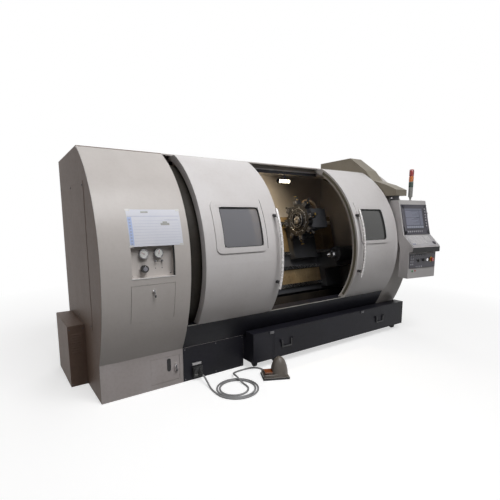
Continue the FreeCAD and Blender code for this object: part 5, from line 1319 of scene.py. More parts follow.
@dataclass
class Enclosure:
    """Rail lip with its painted highlight and shade, sill rail, way covers, work lamp and the conduit's sleeve."""

    rail: Span = (0.700, 3.312)
    cover_start: float = 1.335
    cover_end: float = 3.245
    sheet_length: float = 0.190
    sheet_overlap: float = 0.012
    sheet_thickness: float = 0.013
    sheet_step: float = 0.0022
    bed_face: float = -0.330
    rail_front: float = 0.405
    sill_height: float = 0.535
    conduit_middle: float = 2.585
    conduit_top: float = 0.547
    conduit_radius: float = 0.123
    bulb_watts: float = 7.0
    bulb_tint: Colour = (1.0, 0.84, 0.58)
    lamp: Point = (2.090, 0.420, 1.838)
    lamp_length: float = 0.150
    ribs: int = 30

    def slope(self) -> Face:
        """Seat on the bed: up it from the spindle's height, and proud of the bed's face."""
        turn = radians(SLANT_DEG)
        up = Vector((0, cos(turn), sin(turn)))
        out = Vector((0, -sin(turn), cos(turn)))
        return Face(place(0, *SPINDLE) + out * self.bed_face, X_WAY, up)

    def way_covers(self) -> None:
        """Builds the overlapping cover sheets between the ways."""
        slope = self.slope()
        for name, low, high in (("upper", 0.114, 0.446), ("lower", -0.286, -0.114), ("top", 0.494, 0.552)):
            sheets = []
            count = int((self.cover_end - self.cover_start) / self.sheet_length)
            for number in range(count):
                start = self.cover_start + number * self.sheet_length
                sheets.append(slope.plate("sheet", (start, start + self.sheet_length + self.sheet_overlap),
                    (low, high), (0.0, self.sheet_thickness + self.sheet_step * (number % 5)), 0.0, 0.0015))
            dress(join(f"{name}_way_cover", sheets), WARM_LINER, "root", "guard_steel")

    def rails(self) -> None:
        """Builds the pale lip of the door rail, a painted highlight, the dark strip under it, which is painted
        shade, and the bright rail on the sill.
        """
        face = front_at(self.rail_front)
        # Painted highlight: a white strip where the rail's lip catches the light.
        lip = face.plate("rail_lip_highlight", self.rail, (1.944, 1.958), (PANEL_GAP, 0.006), 0.0, 0.0012)
        dress(lip, TRIM)
        # Painted shade: a dark strip under the rail's lip.
        under = face.plate("rail_shadow_strip", self.rail, (1.9135, 1.9430), (PANEL_GAP, 0.0016), 0.0, 0.0004)
        dress(under, DARK)
        sill = Face(place(0, 0, self.sill_height), X_WAY, Y_WAY)
        rail = sill.plate("sill_rail", self.rail, (-0.1085, -0.0965), (PANEL_GAP, 0.0052), 0.0, 0.001)
        dress(rail, STEM, "root", "guard_steel")
        bolts = [(self.rail[0] + 0.05 + step * 0.25, -0.080, 0.0) for step in range(11)]
        dress(sill.screws("sill_screws", bolts, 0.006, 0.003), TOOL)

    def work_lamp(self) -> None:
        """Builds the tube lamp: lit tube, end caps, clamps and hanger."""
        x, y, z = self.lamp
        end = Face(place(x, y, z), Y_WAY, Z_WAY)
        length = self.lamp_length
        tube = end.turned("lamp_tube", 0, 0, ((0.017, -0.002), (0.0185, 0.0), (0.0185, length),
            (0.017, length + 0.002)), 32)
        tube.data.materials.clear()
        tube.data.materials.append(paint.kept["lamp_light"])
        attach(tube, "root")
        caps = [end.turned("cap", 0, 0, ((0.018, s), (0.0255, s + 0.003 * w), (0.0255, s + 0.010 * w),
            (0.021, s + 0.0155 * w)), 32) for s, w in ((0.0, -1), (length, 1))]
        middle = x + length / 2
        front = front_at(y - 0.015)
        caps.append(front.plate("hanger", (middle - 0.015, middle + 0.015), (z + 0.016, 1.911),
            (-0.006, -0.001), 0.003))
        caps.append(front.plate("hanger", (middle - 0.015, middle + 0.015), (z + 0.016, z + 0.022),
            (-0.029, -0.001), 0.0))
        for s in (0.030, length - 0.038):
            caps.append(end.turned("clamp", 0, 0, ((0.0205, s), (0.0205, s + 0.008)), 32))
        dress(join("lamp_holder", caps), DARK, "root", "black_plastic", ("work_lamp",))
        bulb = bpy.data.lights.new("work_light", "AREA")
        bulb.shape = "RECTANGLE"
        bulb.size, bulb.size_y, bulb.energy, bulb.color = length, 0.03, self.bulb_watts, self.bulb_tint
        light = Studio.link("work_light", bulb, place(middle, y + 0.01, z - 0.03))
        light.rotation_euler = Vector((-0.5, 0.55, -1.0)).to_track_quat("-Z", "Y").to_euler()

    def conduit(self) -> None:
        """Builds the ribbed sleeve over the turret box's half ring of conduit."""
        slope = self.slope()
        middle, top, radius = self.conduit_middle, self.conduit_top, self.conduit_radius
        rings = []
        for step in range(1, self.ribs):
            turn = pi * step / self.ribs
            spot = slope.spot(middle - radius * cos(turn), top + radius * sin(turn), -self.bed_face)
            way = slope.right * sin(turn) + slope.up * cos(turn)
            rings.append(hoop("rib", spot, way, 0.0205, 0.0028, 24))
        dress(join("conduit_ribs", rings), HOSE, "cross_slide")

    def build(self) -> None:
        """Builds the enclosure's inside."""
        self.way_covers()
        self.rails()
        self.work_lamp()
        self.conduit()


@dataclass
class TurretDress:
    """Bolts, rings, clamps, nozzles and inserts of the tool turret."""

    axis: Span = (0.4126, 1.4002)
    disc_face: float = 2.3767
    stations: int = 8

    def build(self) -> None:
        """Builds what turns with the turret."""
        seat = Face(place(self.disc_face, *self.axis), FORWARD, Z_WAY)
        angles = [radians(SLANT_DEG + 360 * step / self.stations) for step in range(self.stations)]
        around = [(-cos(turn), sin(turn)) for turn in angles]
        between = [(-cos(turn + pi / self.stations), sin(turn + pi / self.stations)) for turn in angles]
        hub = seat.turned("turret_hub", 0, 0, ((0.044, 0.0125), (0.044, 0.0142), (0.036, 0.0190),
            (0.016, 0.0200), (0.014, 0.0165)), 48)
        dress(hub, CHUCK, "turret", "tool_steel")
        rings = [hoop("groove", seat.spot(0, 0, 0.0142), X_WAY, radius, 0.0016, 64)
            for radius in (0.085, 0.135)]
        shift(rings[1], X_WAY * 0.0140)
        dress(join("turret_rings", rings), CHUCK, "turret")
        bolts = [(u * 0.062, v * 0.062, 0.0) for u, v in between] + [(u * 0.150, v * 0.150, 0.0)
            for u, v in between]
        dress(seat.screws("turret_bolts", bolts, 0.008, 0.006), IRON, "turret")
        dimples, nozzles, tips, clamps = [], [], [], []
        for step, (u, v) in enumerate(around):
            middle = seat.spot(u * 0.206, v * 0.206, 0.0)
            out = (seat.right * u + seat.up * v).normalized()
            side = X_WAY.cross(out).normalized()
            station = Face(middle, side, out)
            clamps.append(station.plate("clamp", (-0.026, 0.026), (-0.020, 0.022), (-0.006, 0.001), 0.004,
                0.001))
            clamps.append(station.seat(repeat("socket", cap_screw("socket", 0.006, 0.006),
                [Vector((s, t, 0.001)) for s in (-0.016, 0.016) for t in (-0.010, 0.012)])))
            nozzles.append(rod("nozzle", station.spot(0.026, 0.020, -0.020), out + side * -0.25, 0.0045,
                0.026, 12))
            if step % 2 == 0:
                tips.append(station.plate("tip", (-0.0135, 0.0135), (0.074, 0.0825), (-0.036, -0.010), 0.002,
                    0.0006))
            dimples.append(seat.turned("dimple", u * 0.112, v * 0.112,
                ((0.006, -0.001), (0.006, 0.001), (0.004, 0.0018)), 16))
        dress(join("holder_clamps", clamps), TOOL, "turret", "tool_steel")
        dress(join("coolant_nozzles", nozzles), BRASS, "turret")
        dress(join("cutting_tips", tips), CARBIDE, "turret")
        dress(join("station_dimples", dimples), IRON, "turret")


@dataclass
class ChuckDress:
    """Face rings and bolts of the chuck, bolts of its jaws, and the tailstock's trim."""

    face: float = 1.4263
    jaws: tuple[float, ...] = (90.0, 210.0, 330.0)
    barrel_face: float = 2.905

    def build(self) -> None:
        """Builds what dresses the chuck, the jaws and the tailstock."""
        seat = Face(place(self.face, *SPINDLE), Y_WAY, Z_WAY)
        rings = [hoop("groove", seat.spot(0, 0, 0.0), X_WAY, radius, 0.0012, 64)
            for radius in (0.060, 0.100, 0.146)]
        dress(join("chuck_rings", rings), IRON, "spindle", "chuck_steel")
        turns = [radians(angle) for angle in (30, 150, 270)]
        bolts = [(0.120 * cos(turn + lean), 0.120 * sin(turn + lean), 0.0) for turn in turns
            for lean in (-0.2, 0.2)]
        dress(seat.screws("chuck_bolts", bolts, 0.009, 0.006), TOOL, "spindle")
        for number, angle in enumerate(self.jaws, 1):
            turn = radians(angle)
            out = Y_WAY * cos(turn) + Z_WAY * sin(turn)
            jaw = Face(place(self.face + 0.062, *SPINDLE), X_WAY.cross(out) * -1.0, out)
            body = f"jaw_{number}"
            dress(jaw.screws(f"jaw_{number}_bolts", [(0, 0.107, -0.0005), (0, 0.128, -0.0005)], 0.0085,
                0.005), IRON, body)
        tail = Face(place(self.barrel_face, *SPINDLE), FORWARD, Z_WAY)
        ring = tail.rim("quill_wiper", (-0.058, 0.058), (-0.058, 0.058), (TRIM_GAP, 0.010), 0.0145, 0.0575,
            0.002)
        dress(ring, RUBBER, "tailstock")
        bolts = [(0.075 * cos(radians(a)), 0.075 * sin(radians(a)), 0.0) for a in range(30, 390, 60)]
        dress(tail.screws("barrel_bolts", bolts, 0.007, 0.005), TOOL, "tailstock")


@dataclass
class Console:
    """Pendant with its screen, keys, board, control panel and trims, in its own places across and up."""

    axis: Span = (3.397, -0.169)
    turn_deg: float = -7.6
    ends: Span = (-0.053, 0.408)
    top: Span = (-0.104, 1.633)
    knee: Span = (-0.202, 1.227)
    nose: Span = (-0.349, 1.096)
    box_reach: float = -0.297
    box: Span = (0.731, 1.033)
    bezel: Area = ((-0.031, 0.406), (-0.4137, -0.052))
    pane: Area = ((0.019, 0.318), (-0.3397, -0.094))
    stop: Span = (0.332, 0.940)
    dial: Span = (0.198, 0.940)

    @property
    def across(self) -> Vector:
        """Direction across the pendant."""
        turn = radians(self.turn_deg)
        return Vector((cos(turn), sin(turn), 0))

    def spot(self, u: float, v: float, z: float) -> Vector:
        """Point across, behind the swivel's axis and up."""
        turn = radians(self.turn_deg)
        back = Vector((-sin(turn), cos(turn), 0))
        return place(*self.axis, z) + self.across * u + back * v

    def face(self, high: Span, low: Span) -> Face:
        """Seat between two places of the side outline, counted down from the upper one."""
        start = self.spot(0, *high)
        return Face(start, self.across, (start - self.spot(0, *low)).normalized())

    def screen(self) -> None:
        """Builds the bezel, the lit pane with plain fields, and the soft keys."""
        seat = self.face(self.top, self.knee)
        (left, right), (low, high) = self.bezel
        panel = seat.rim("console_bezel", (left, right), (low, high), (0.0, 0.006), 0.050, 0.010, 0.002)
        dress(panel, BEZEL, "pendant", "screen_panel", ("pendant_screen",))
        backing = seat.plate("bezel_backing", (left + 0.02, right - 0.02), (low + 0.02, high - 0.02),
            (0.0001, 0.0040), 0.004)
        dress(backing, BEZEL, "pendant")
        (left, right), (low, high) = self.pane
        inner = seat.rim("screen_surround", (left - 0.008, right + 0.008), (low - 0.008, high + 0.008),
            (0.003, 0.0055), 0.0075, 0.006, 0.001)
        dress(inner, PLASTIC, "pendant")
        dress(seat.plate("screen_pane", (left, right), (low, high), (0.003, 0.0046), 0.003), SCREEN,
            "pendant", "screen_panel")
        fields = [seat.plate("field", (left + 0.006, end), v, (0.0046, 0.0048))
            for end, v in ((right - 0.006, (high - 0.020, high - 0.006)),
            (right - 0.060, (high - 0.110, high - 0.030)), (right - 0.060, (low + 0.040, high - 0.120)))]
        fields.append(seat.plate("field", (right - 0.052, right - 0.006), (low + 0.040, high - 0.030),
            (0.0046, 0.0048)))
        dress(join("screen_fields", fields), SCREEN_FIELD, "pendant")
        lines = []
        for step in range(12):
            up, end = high - 0.046 - step * 0.0135, left + 0.10 + 0.021 * (step * 5 % 7)
            lines.append(seat.plate("line", (left + 0.016, end), (up, up + 0.0035), (0.0048, 0.0050), 0.0,
                0.0))
        dress(join("screen_lines", lines), SCREEN_LINE, "pendant")
        feet = seat.plates("screen_tabs", (0.032, 0.022, 0.0003),
            [(left + 0.024 + step * 0.036, low + 0.018, 0.0046) for step in range(8)])
        dress(feet, SCREEN_LINE, "pendant")
        column = [(0.362, -0.107 - step * 0.034, 0.006) for step in range(7)]
        row = [(0.032 + step * 0.034, -0.3767, 0.006) for step in range(8)]
        dress(seat.plates("soft_keys", (0.024, 0.021, 0.0030), column + row, 0.003, 0.0009), KEY, "pendant",
            "key_plastic")
        caps = [(u, v, 0.009) for u, v, _ in column + row]
        dress(seat.plates("soft_key_tops", (0.014, 0.011, 0.0004), caps, 0.002), PALE_KEY, "pendant")

    def board(self) -> None:
        """Builds the keyboard shelf with its keys, tracking ball and pale edges."""
        seat = self.face(self.knee, self.nose)
        left, right = self.ends
        length = (Vector(self.knee) - Vector(self.nose)).length
        base = seat.plate("key_board", (left + 0.020, right - 0.020), (0.014 - length, -0.014), (0.0, 0.005),
            0.006, 0.0015)
        dress(base, PALE_KEY, "pendant", "key_plastic", ("pendant_keys",))
        places = [(left + 0.050 + 0.0205 * column + 0.004 * (line % 2), -0.034 - 0.0215 * line, 0.005)
            for line in range(6) for column in range(12)]
        places += [(left + 0.318 + 0.0205 * column, -0.034 - 0.0215 * line, 0.005) for line in range(4)
            for column in range(4)]
        dress(seat.plates("board_keys", (0.0175, 0.0175, 0.0030), places, 0.0022, 0.0008), TRIM, "pendant",
            "key_plastic")
        marks = [(u, v, 0.008) for u, v, _ in places[::3]]
        dress(seat.plates("key_marks", (0.007, 0.003, 0.0002), marks), SCREEN_FIELD, "pendant")
        blue = seat.plates("mode_keys", (0.0175, 0.0085, 0.0036),
            [(left + 0.050, -0.150, 0.005), (left + 0.0715, -0.150, 0.005)])
        dress(blue, BLUE_KEY, "pendant")
        socket = seat.turned("ball_socket", 0.352, -0.142, ((0.024, 0.005), (0.024, 0.0075), (0.0205, 0.0080),
            (0.0190, 0.0062)), 40)
        dress(socket, PLASTIC, "pendant")
        ball = round_ball("tracking_ball", seat.spot(0.352, -0.142, 0.0035), 0.0165)
        dress(ball, BEZEL, "pendant")
        for name, edge in (("left", (left + 0.0004, left + 0.0090)),
                ("right", (right - 0.0090, right - 0.0004))):
            strips = [seat.plate("edge", edge, (0.004 - length, -0.002), (TRIM_GAP, 0.0065), 0.0, 0.0015)]
            face = self.face(self.top, self.knee)
            strips.append(face.plate("edge", edge, (-0.4170, -0.004), (TRIM_GAP, 0.0035), 0.0, 0.0012))
            dress(join(f"console_{name}_edge", strips), TRIM, "pendant", "pendant_paint")
        gap = seat.plate("board_gap", (left + 0.0100, left + 0.0190), (0.006 - length, -0.004),
            (TRIM_GAP, 0.0020), 0.0, 0.0005)
        dress(gap, RUBBER, "pendant")
        nose = Face(self.spot(0, self.nose[0], 0), self.across, Z_WAY)
        # Dark panel laid over the whole nose of the shelf, which makes the nose dark.
        nose_panel = nose.plate("shelf_nose_panel", (left + 0.001, right - 0.001), (1.0350, 1.0935), (-0.001, 0.0030),
            0.006, 0.002)
        dress(nose_panel, RUBBER, "pendant")

    def controls(self) -> None:
        """Builds the control panel with its keys, selector knobs, key switch and stop collar."""
        seat = Face(self.spot(0, self.box_reach, 0), self.across, Z_WAY)
        panel = seat.plate("control_panel", (-0.041, 0.400), (0.849, 1.015), (0.0, 0.005), 0.008, 0.0012)
        dress(panel, BEZEL, "pendant", "black_plastic")
        dress(seat.rim("control_rim", (-0.041, 0.400), (0.849, 1.015), (0.0045, 0.0062), 0.003, 0.008),
            PLASTIC, "pendant")
        places = [(-0.016 + 0.030 * column, 0.990 - 0.032 * line, 0.005) for line in range(4)
            for column in range(2)]
        places += [(0.075 + 0.030 * column, 0.864, 0.005) for column in range(4)]
        places += [(0.075 + 0.030 * column, 1.000, 0.005) for column in range(6)]
        dress(seat.plates("panel_keys", (0.022, 0.019, 0.0032), places, 0.003, 0.0009), KEY, "pendant",
            "key_plastic")
        dress(seat.plates("panel_key_tops", (0.012, 0.009, 0.0003), [(u, v, 0.0082) for u, v, _ in places],
            0.002), PALE_KEY, "pendant")
        knob = seat.knurled("feed_knob", 0.108, 0.935, ((0.021, 0.005), (0.021, 0.008), (0.016, 0.009),
            (0.0155, 0.024), (0.0135, 0.0255)), 18)
        dress(knob, PLASTIC, "pendant", "black_plastic")
        u, v = self.dial
        dial = seat.knurled("override_grip", u, v, ((0.0188, 0.0055), (0.0188, 0.0085), (0.0165, 0.0095),
            (0.016, 0.0235), (0.0138, 0.0250)), 18)
        dress(dial, PLASTIC, "override_dial", "black_plastic", ("override_dial",))
        mark = seat.plate("override_mark", (u - 0.0011, u + 0.0011), (v + 0.004, v + 0.0125),
            (0.0248, 0.0254))
        dress(mark, DIAL, "override_dial")
        ticks = []
        for middle in (0.108, u):
            for step in range(15):
                turn = radians(225 - step * 270 / 14)
                ticks.append((middle + 0.0262 * cos(turn), v + 0.0262 * sin(turn), 0.005))
        dress(seat.plates("dial_ticks", (0.0022, 0.0022, 0.0003), ticks), DIAL, "pendant")
        ring = seat.turned("key_switch", 0.262, 0.940, ((0.0165, 0.005), (0.0165, 0.009), (0.0130, 0.0105),
            (0.0100, 0.0105), (0.0095, 0.008)), 36)
        dress(ring, CHROME, "pendant", "bright_chrome")
        slot = seat.plate("key_slot", (0.2612, 0.2628), (0.934, 0.946), (0.008, 0.0086))
        dress(slot, RUBBER, "pendant")
        u, v = self.stop
        collar = seat.rim("stop_collar", (u - 0.030, u + 0.030), (v - 0.030, v + 0.030), (0.005, 0.0066),
            0.014, 0.0298)
        dress(collar, YELLOW, "pendant")
        ring = hoop("stop_ring", seat.spot(u, v, 0.0332), seat.right.cross(seat.up), 0.0125, 0.0010, 32)
        dress(ring, DIAL, "emergency_stop")
        for name, spot, finish in (("start_button", (0.020, 0.815), GREEN),
                ("halt_button", (0.066, 0.818), RED)):
            button = seat.turned(name, *spot, ((0.011, 0.0), (0.011, 0.003), (0.0085, 0.0035),
                (0.0085, 0.007), (0.007, 0.008)), 28)
            dress(button, finish, "pendant")
        dress(seat.screws("panel_screws", [(x, z, 0.005) for x in (-0.034, 0.393) for z in (0.856, 1.008)],
            0.0035, 0.002), TOOL, "pendant")

    def shell_details(self) -> None:
        """Builds the vents on the right side, the back cover and the black swivel."""
        right = Face(self.spot(self.ends[1], 0, 0), self.spot(0, 1, 0) - self.spot(0, 0, 0), Z_WAY)
        vents = right.louvres("console_vents", (-0.150, -0.030), 1.30, 9)
        dress(vents, PENDANT, "pendant")
        back = Face(self.spot(0, 0.024, 0), self.across * -1.0, Z_WAY)
        cover = back.plate("console_back_cover", (-0.360, 0.010), (1.575, 1.620), (TRIM_GAP, 0.002), 0.005)
        dress(cover, PENDANT, "pendant")
        sleeve = turned_up("swivel_sleeve", ((0.0485, 1.6345), (0.0505, 1.637), (0.0505, 1.648),
            (0.0485, 1.650), (0.0485, 1.672), (0.0505, 1.674), (0.0505, 1.685), (0.0485, 1.6875)), 56)
        shift(sleeve, place(*self.axis, 0))
        dress(sleeve, PLASTIC, "root", "black_plastic")
        lever = Face(place(self.axis[0] - 0.048, self.axis[1], 1.661), FORWARD, Z_WAY)
        bolt = lever.turned("swivel_bolt", 0, 0, ((0.008, -0.002), (0.008, 0.006), (0.012, 0.007),
            (0.012, 0.016), (0.009, 0.018)), 6)
        dress(bolt, CHROME)

    def tower(self) -> None:
        """Builds the signal tower: foot, stem, nut, three ribbed lamps and cap."""
        middle = self.spot(0.230, -0.030, 0)
        stem = turned_up("tower_stem", ((0.021, 1.6332), (0.021, 1.637), (0.010, 1.641), (0.0095, 1.652),
            (0.013, 1.656), (0.013, 1.668), (0.020, 1.676), (0.0255, 1.682), (0.0255, 1.790)), 40)
        dress(shift(stem, middle), STEM, "pendant", "pendant_paint", ("signal_tower",))
        nut = turned_up("tower_nut", ((0.014, 1.657), (0.014, 1.666)), 6)
        dress(shift(nut, middle), TOOL, "pendant")
        for number, (name, finish) in enumerate((("green", LENS_GREEN), ("orange", LENS_ORANGE),
                ("red", LENS_RED))):
            low = 1.7925 + number * 0.066
            steps = [(0.0265, low - 0.002), (0.0265, low + 0.004)]
            for rib in range(9):
                up = low + 0.0065 + rib * 0.006
                steps += [(0.0272, up), (0.0280, up + 0.0015), (0.0280, up + 0.0030), (0.0272, up + 0.0045)]
            steps.append((0.0265, low + 0.0625))
            lens = turned_up(f"{name}_lamp", steps, 40, 0.0)
            dress(shift(lens, middle), finish, "pendant", "tower_lenses")
        cap = turned_up("tower_cap", ((0.0268, 1.9895), (0.0268, 1.996), (0.022, 2.001), (0.010, 2.0040)), 40)
        dress(shift(cap, middle), LENS_RED, "pendant")

    def build(self) -> None:
        """Builds the pendant's pieces."""
        self.screen()
        self.board()
        self.controls()
        self.shell_details()
        self.tower()


@dataclass
class LowerFront:
    """Clips, hubs, outlet sockets and cable reliefs of the tank, the drawer and the outlet."""

    drawer_front: float = -0.169
    top: float = 0.360
    wheels: Span = (1.652, 3.612)
    outlet: Area = ((0.776, 0.868), (0.026, 0.124))
    outlet_front: float = -0.034
    strip_front: float = -0.008

    def build(self) -> None:
        """Builds the pieces."""
        seat = front_at(self.drawer_front)
        for name, middle, body in (("tank_clip", 1.545, "root"), ("drawer_clip", 2.884, "chip_drawer")):
            clip = [seat.plate("clip", (middle - 0.024, middle + 0.024), (self.top - 0.030, self.top - 0.006),
                (TRIM_GAP, 0.010), 0.003, 0.001), seat.plate("clip", (middle - 0.010, middle + 0.010),
                (self.top - 0.026, self.top - 0.012), (0.010, 0.0150), 0.003, 0.001)]
            dress(join(name, clip), TOOL, body)
        for name, ends, body in (("drawer_outline", (1.580, 3.684), "chip_drawer"),
                ("tank_outline", (1.334, 1.568), "root")):
            dress(seat.rim(name, ends, (0.080, 0.352), (0.0001, 0.0014), 0.004, 0.006, 0.0004), DARK, body)
        for number, middle in enumerate(self.wheels, 1):
            hub = Face(place(middle, -0.074, 0.034), Y_WAY, Z_WAY)
            cap = hub.turned(f"front_hub_{number}", 0, 0, ((0.014, -0.0170), (0.018, -0.0155),
                (0.018, 0.0155), (0.014, 0.0170)), 24)
            dress(cap, TOOL, "drawer_wheels")
        box = front_at(self.outlet_front)
        (left, right), (low, high) = self.outlet
        lids = [box.rim("rim", (left + 0.003, right - 0.003), (low + 0.003, high - 0.003), (0.0, 0.003),
            0.004, 0.006), box.turned("lid", left + 0.026, low + 0.064,
            ((0.019, 0.0), (0.019, 0.009), (0.016, 0.012))), box.plate("lug", (left + 0.016, left + 0.036),
            (low + 0.082, low + 0.090), (0.0, 0.014), 0.002), box.turned("lid", right - 0.024, low + 0.074,
            ((0.012, 0.0), (0.012, 0.008), (0.010, 0.010)))]
        dress(join("outlet_lids", lids), PLASTIC, "root", "black_plastic")
        # Painted glints: two grey bars on the black socket lid.
        glints = [box.plate("bar", (left + 0.012, left + 0.044), (low + 0.026, low + 0.031), (0.0, 0.0022),
            0.001), box.plate("bar", (left + 0.018, left + 0.040), (low + 0.016, low + 0.020), (0.0, 0.0022),
            0.001)]
        dress(join("outlet_glints", glints), STEM)
        label = front_at(self.strip_front)
        dress(label.plate("outlet_strip", (left + 0.001, right - 0.001), (0.135, 0.157), (TRIM_GAP, 0.0014),
            0.002), TRIM)
        dress(label.screws("strip_screws", [(left + 0.006, 0.146, 0.0014), (right - 0.006, 0.146, 0.0014)],
            0.003, 0.0015), TOOL)
        gland = Face(place(*CABLE_GLAND), X_WAY, Z_WAY)
        steps = [(0.0150, -0.004), (0.0150, 0.004)]
        for rib in range(5):
            up = 0.006 + rib * 0.007
            steps += [(0.0132 - 0.0007 * rib, up), (0.0132 - 0.0007 * rib, up + 0.0035),
                (0.0112 - 0.0005 * rib, up + 0.0045)]
        dress(gland.turned("cable_relief", 0, 0, steps, 28), RUBBER)


@dataclass
class FootPedal:
    """Domed hood, tray, ribs, sole skirt, screws and cable relief of the foot pedal."""

    treadle_top: float = 0.059
    dome_middle: Point = (0.038, 0.0, 0.021)
    dome_half: Point = (0.0813, 0.0794, 0.1710)
    mouth: float = -0.018
    wall: float = 0.004

    def hood(self) -> Piece:
        """Rounds the hood as half an egg, cut open towards the toe and given its wall.

        Returns:
            The hood, before it is seated.
        """
        deselect()
        bpy.ops.mesh.primitive_uv_sphere_add(segments=64, ring_count=40, radius=1.0,
            location=self.dome_middle)
        piece = bpy.context.active_object
        piece.scale = self.dome_half
        settle(piece, "pedal_hood")
        choose(piece, Pick.FACES, lambda face: True)
        for spot, way in (((0, 0, self.dome_middle[2]), (0, 0, 1)), ((self.mouth, 0, 0), (1, 0, 0.18))):
            bpy.ops.mesh.select_all(action="SELECT")
            bpy.ops.mesh.bisect(plane_co=spot, plane_no=way, clear_inner=True)
        bpy.ops.mesh.select_all(action="SELECT")
        bpy.ops.mesh.normals_make_consistent(inside=False)
        leave_edit()
        pick(piece)
        shell = piece.modifiers.new("wall", "SOLIDIFY")
        shell.thickness = self.wall
        shell.offset = -1.0
        bpy.ops.object.modifier_apply(modifier=shell.name)
        return soften(piece, 0.0012, 2)

    def case(self) -> None:
        """Builds the sole, hood, tray and pivot ears, which stand for the pedal's base."""
        floor = self.seat(0.0)
        pieces = [floor.plate("sole", (-0.120, 0.120), (-0.080, 0.080), (0.0, 0.022), 0.010, 0.002),
            floor.seat(self.hood()), floor.rim("tray", (-0.118, 0.030), (-0.074, 0.074), (0.0215, 0.049),
            0.010, 0.020, 0.003)]
        for low in (-0.0528, 0.0472):
            pieces.append(floor.plate("ear", (0.036, 0.064), (low, low + 0.0056), (0.0215, 0.064), 0.0,
                0.001))
        dress(join("pedal_case", pieces), HAMMERED, "root", "pedal_paint", ("pedal_base",))

    def seat(self, height: float) -> Face:
        """Level seat in the pedal's own places: along it and across."""
        turn = radians(PEDAL_TURN_DEG)
        along = Vector((cos(turn), sin(turn), 0))
        return Face(place(*PEDAL_MIDDLE, height), along, Vector((-sin(turn), cos(turn), 0)))

    def build(self) -> None:
        """Builds the pedal's dress."""
        self.case()
        top = self.seat(self.treadle_top)
        ribs = top.plates("treadle_ribs", (0.0050, 0.080, 0.0026),
            [(-0.092 + 0.0105 * step, 0, 0) for step in range(13)], 0.001)
        dress(ribs, TREADLE, "treadle", "treadle_rubber")
        edge = top.rim("treadle_edge", (-0.1002, 0.050), (-0.0462, 0.0462), (-0.0142, 0.0012), 0.003, 0.004)
        dress(edge, TREADLE_EDGE, "treadle")
        floor = self.seat(0.0)
        skirt = floor.rim("sole_skirt", (-0.1216, 0.1216), (-0.0816, 0.0816), (0.0008, 0.0190), 0.004, 0.006)
        grooves = [floor.rim("groove", (-0.1222, 0.1222), (-0.0822, 0.0822), (up, up + 0.0022), 0.004, 0.006)
            for up in (0.004, 0.009, 0.014)]
        dress(join("sole_skirt", [skirt] + grooves), RUBBER, "root", "black_plastic")
        dress(self.seat(0.022).screws("sole_screws", [(-0.108, q, 0) for q in (-0.066, 0.066)], 0.005, 0.003),
            TOOL)
        gland = self.seat(0.0083)
        way = Face(gland.spot(-0.078, 0.1025, 0), gland.right * -1.0, Z_WAY)
        relief = turned_up("pedal_relief", ((0.0138, -0.006), (0.0138, 0.002), (0.0122, 0.003),
            (0.0122, 0.010), (0.0104, 0.011), (0.0104, 0.020)), 28)
        for vertex in relief.data.vertices:
            vertex.co.y *= 0.60
        dress(way.seat(relief), RUBBER)


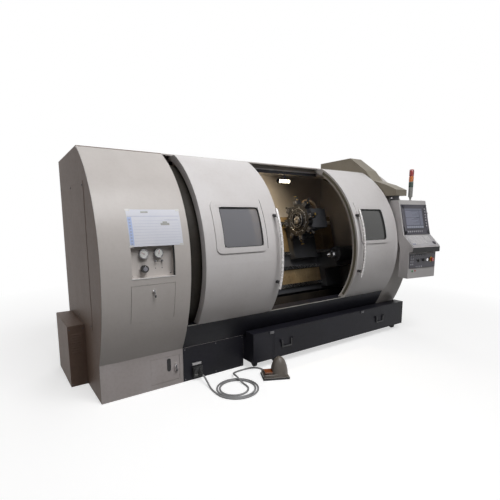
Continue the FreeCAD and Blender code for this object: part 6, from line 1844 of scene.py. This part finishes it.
@dataclass
class RearAndRoof:
    """Rear cabinet with doors, the roof's seams and eyes, and the right end's panel."""

    rear: Area = ((0.690, 3.690), (0.300, 1.960))
    back_face: float = 1.154
    right_face: float = 3.690
    roof_fall: float = 0.0468
    roof_front: Span = (0.336, 1.9995)
    roof_back: Span = (1.159, 1.9625)

    def rear_doors(self) -> None:
        """Builds the rear cabinet's case, doors, vents, hinges and handles."""
        (left, right), (low, high) = self.rear
        case = cuboid("rear_case", place(left, 1.0005, low), place(right, self.back_face, 1.9620))
        soften(case, 0.003)
        for vertex in case.data.vertices:
            if vertex.co.z > 1.9:
                vertex.co.z += self.roof_fall * (place(0, self.back_face, 0).y - vertex.co.y)
        dress(case, COVER, "root", "cover_paint", ("rear_cabinet",))
        seat = Face(place(0, self.back_face, 0), X_WAY * -1.0, Z_WAY)
        width = (right - left) / 4
        hinges, handles = [], []
        for number in range(4):
            start = -right + number * width
            door = seat.plate(f"rear_door_{number + 1}", (start + 0.008, start + width - 0.008),
                (low + 0.04, high - 0.03), (PANEL_GAP, 0.0036), 0.008, 0.0012)
            dress(door, COVER, "root", "cover_paint")
            side = start + (width - 0.004 if number % 2 else 0.004)
            for up in (low + 0.16, (low + high) / 2, high - 0.16):
                hinges.append((side, up, 0.0002))
            handles.append((start + (0.045 if number % 2 else width - 0.045), 1.12, 0.0036))
            vents = seat.louvres(f"rear_vents_{number + 1}", (start + 0.15, start + width - 0.15), low + 0.10,
                9, 0.024, 0.0054)
            dress(vents, COVER)
        dress(seat.plates("rear_hinges", (0.010, 0.060, 0.0054), hinges, 0.002), TOOL)
        dress(seat.plates("rear_handles", (0.024, 0.110, 0.0022), handles, 0.006), PLASTIC)

    def roof(self) -> None:
        """Builds the roof's raised sheets and lifting eyes."""
        start = place(0, *self.roof_front)
        way = place(0, *self.roof_back) - start
        seat = Face(start, X_WAY, way.normalized())
        depth = way.length
        for number, (left, right) in enumerate(((0.75, 1.55), (1.60, 2.40), (2.45, 3.25)), 1):
            sheet = seat.plate(f"roof_sheet_{number}", (left, right), (0.05, depth - 0.19),
                (PANEL_GAP, 0.0022), 0.010, 0.001)
            dress(sheet, COVER, "root", "cover_paint")
            screws = [(x, y, 0.0022) for x in (left + 0.03, right - 0.03) for y in (0.08, depth - 0.22)]
            dress(seat.screws(f"roof_screws_{number}", screws, 0.007, 0.004), TOOL)
        eyes = []
        for x in (0.12, 0.58):
            for y in (0.30, 0.72):
                spot = seat.spot(x, y, 0.028)
                eyes.append(hoop("eye", spot, X_WAY, 0.020, 0.006, 28))
                eyes.append(seat.turned("collar", x, y, ((0.017, 0.0), (0.017, 0.005), (0.010, 0.010)), 24))
        dress(join("lifting_eyes", eyes), TOOL)

    def right_end(self) -> None:
        """Builds the right end's service door, vents, lock and main switch."""
        seat = Face(place(self.right_face, 0, 0), Y_WAY, Z_WAY)
        dress(seat.plate("end_door", (0.10, 0.86), (0.46, 1.74), (PANEL_GAP, 0.0026), 0.014, 0.0014), COVER,
            "root", "cover_paint")
        dress(seat.louvres("end_vents", (0.22, 0.74), 0.54, 12, 0.024, 0.0060), COVER)
        dress(seat.plates("end_hinges", (0.014, 0.070, 0.009), [(0.862, z, 0.0002)
            for z in (0.62, 1.10, 1.58)], 0.003), TOOL)
        lock = seat.turned("end_lock", 0.145, 1.10, ((0.016, 0.0026), (0.016, 0.006), (0.010, 0.007),
            (0.010, 0.012)), 28)
        dress(lock, CHROME)
        plate = seat.plate("main_switch_plate", (0.42, 0.50), (1.44, 1.52), (0.0026, 0.0060), 0.006, 0.001)
        dress(plate, YELLOW)
        grip = seat.knurled("main_switch_grip", 0.46, 1.48, ((0.024, 0.006), (0.024, 0.012), (0.019, 0.014),
            (0.018, 0.034), (0.015, 0.036)), 12, 0.002)
        dress(grip, RED)

    def build(self) -> None:
        """Builds the rear, the roof and the right end."""
        self.rear_doors()
        self.roof()
        self.right_end()


def main() -> None:
    """Builds the studio, the cable and every sub-assembly."""
    logging.basicConfig(level=logging.INFO, format="%(message)s")
    Studio().build()
    PedalCable().build()
    NodeFinishes().build()
    ServicePanel().build()
    CabinetSides().build()
    DoorDress("left", ((0.914, 1.352), (1.186, 1.546)), ((0.952, 1.352), (1.198, 1.530)), 1.515, 1.397,
        (1.5603, 1.5642), RUBBER).build()
    # The right door's closing lip faces left and is painted olive as shade.
    DoorDress("right", ((2.694, 3.092), (1.186, 1.546)), ((2.706, 3.092), (1.186, 1.524)), 2.645, 2.6635,
        (2.5958, 2.5997), SHADED_OLIVE).build()
    Enclosure().build()
    TurretDress().build()
    ChuckDress().build()
    Console().build()
    LowerFront().build()
    FootPedal().build()
    RearAndRoof().build()


if __name__ == "__main__":
    main()
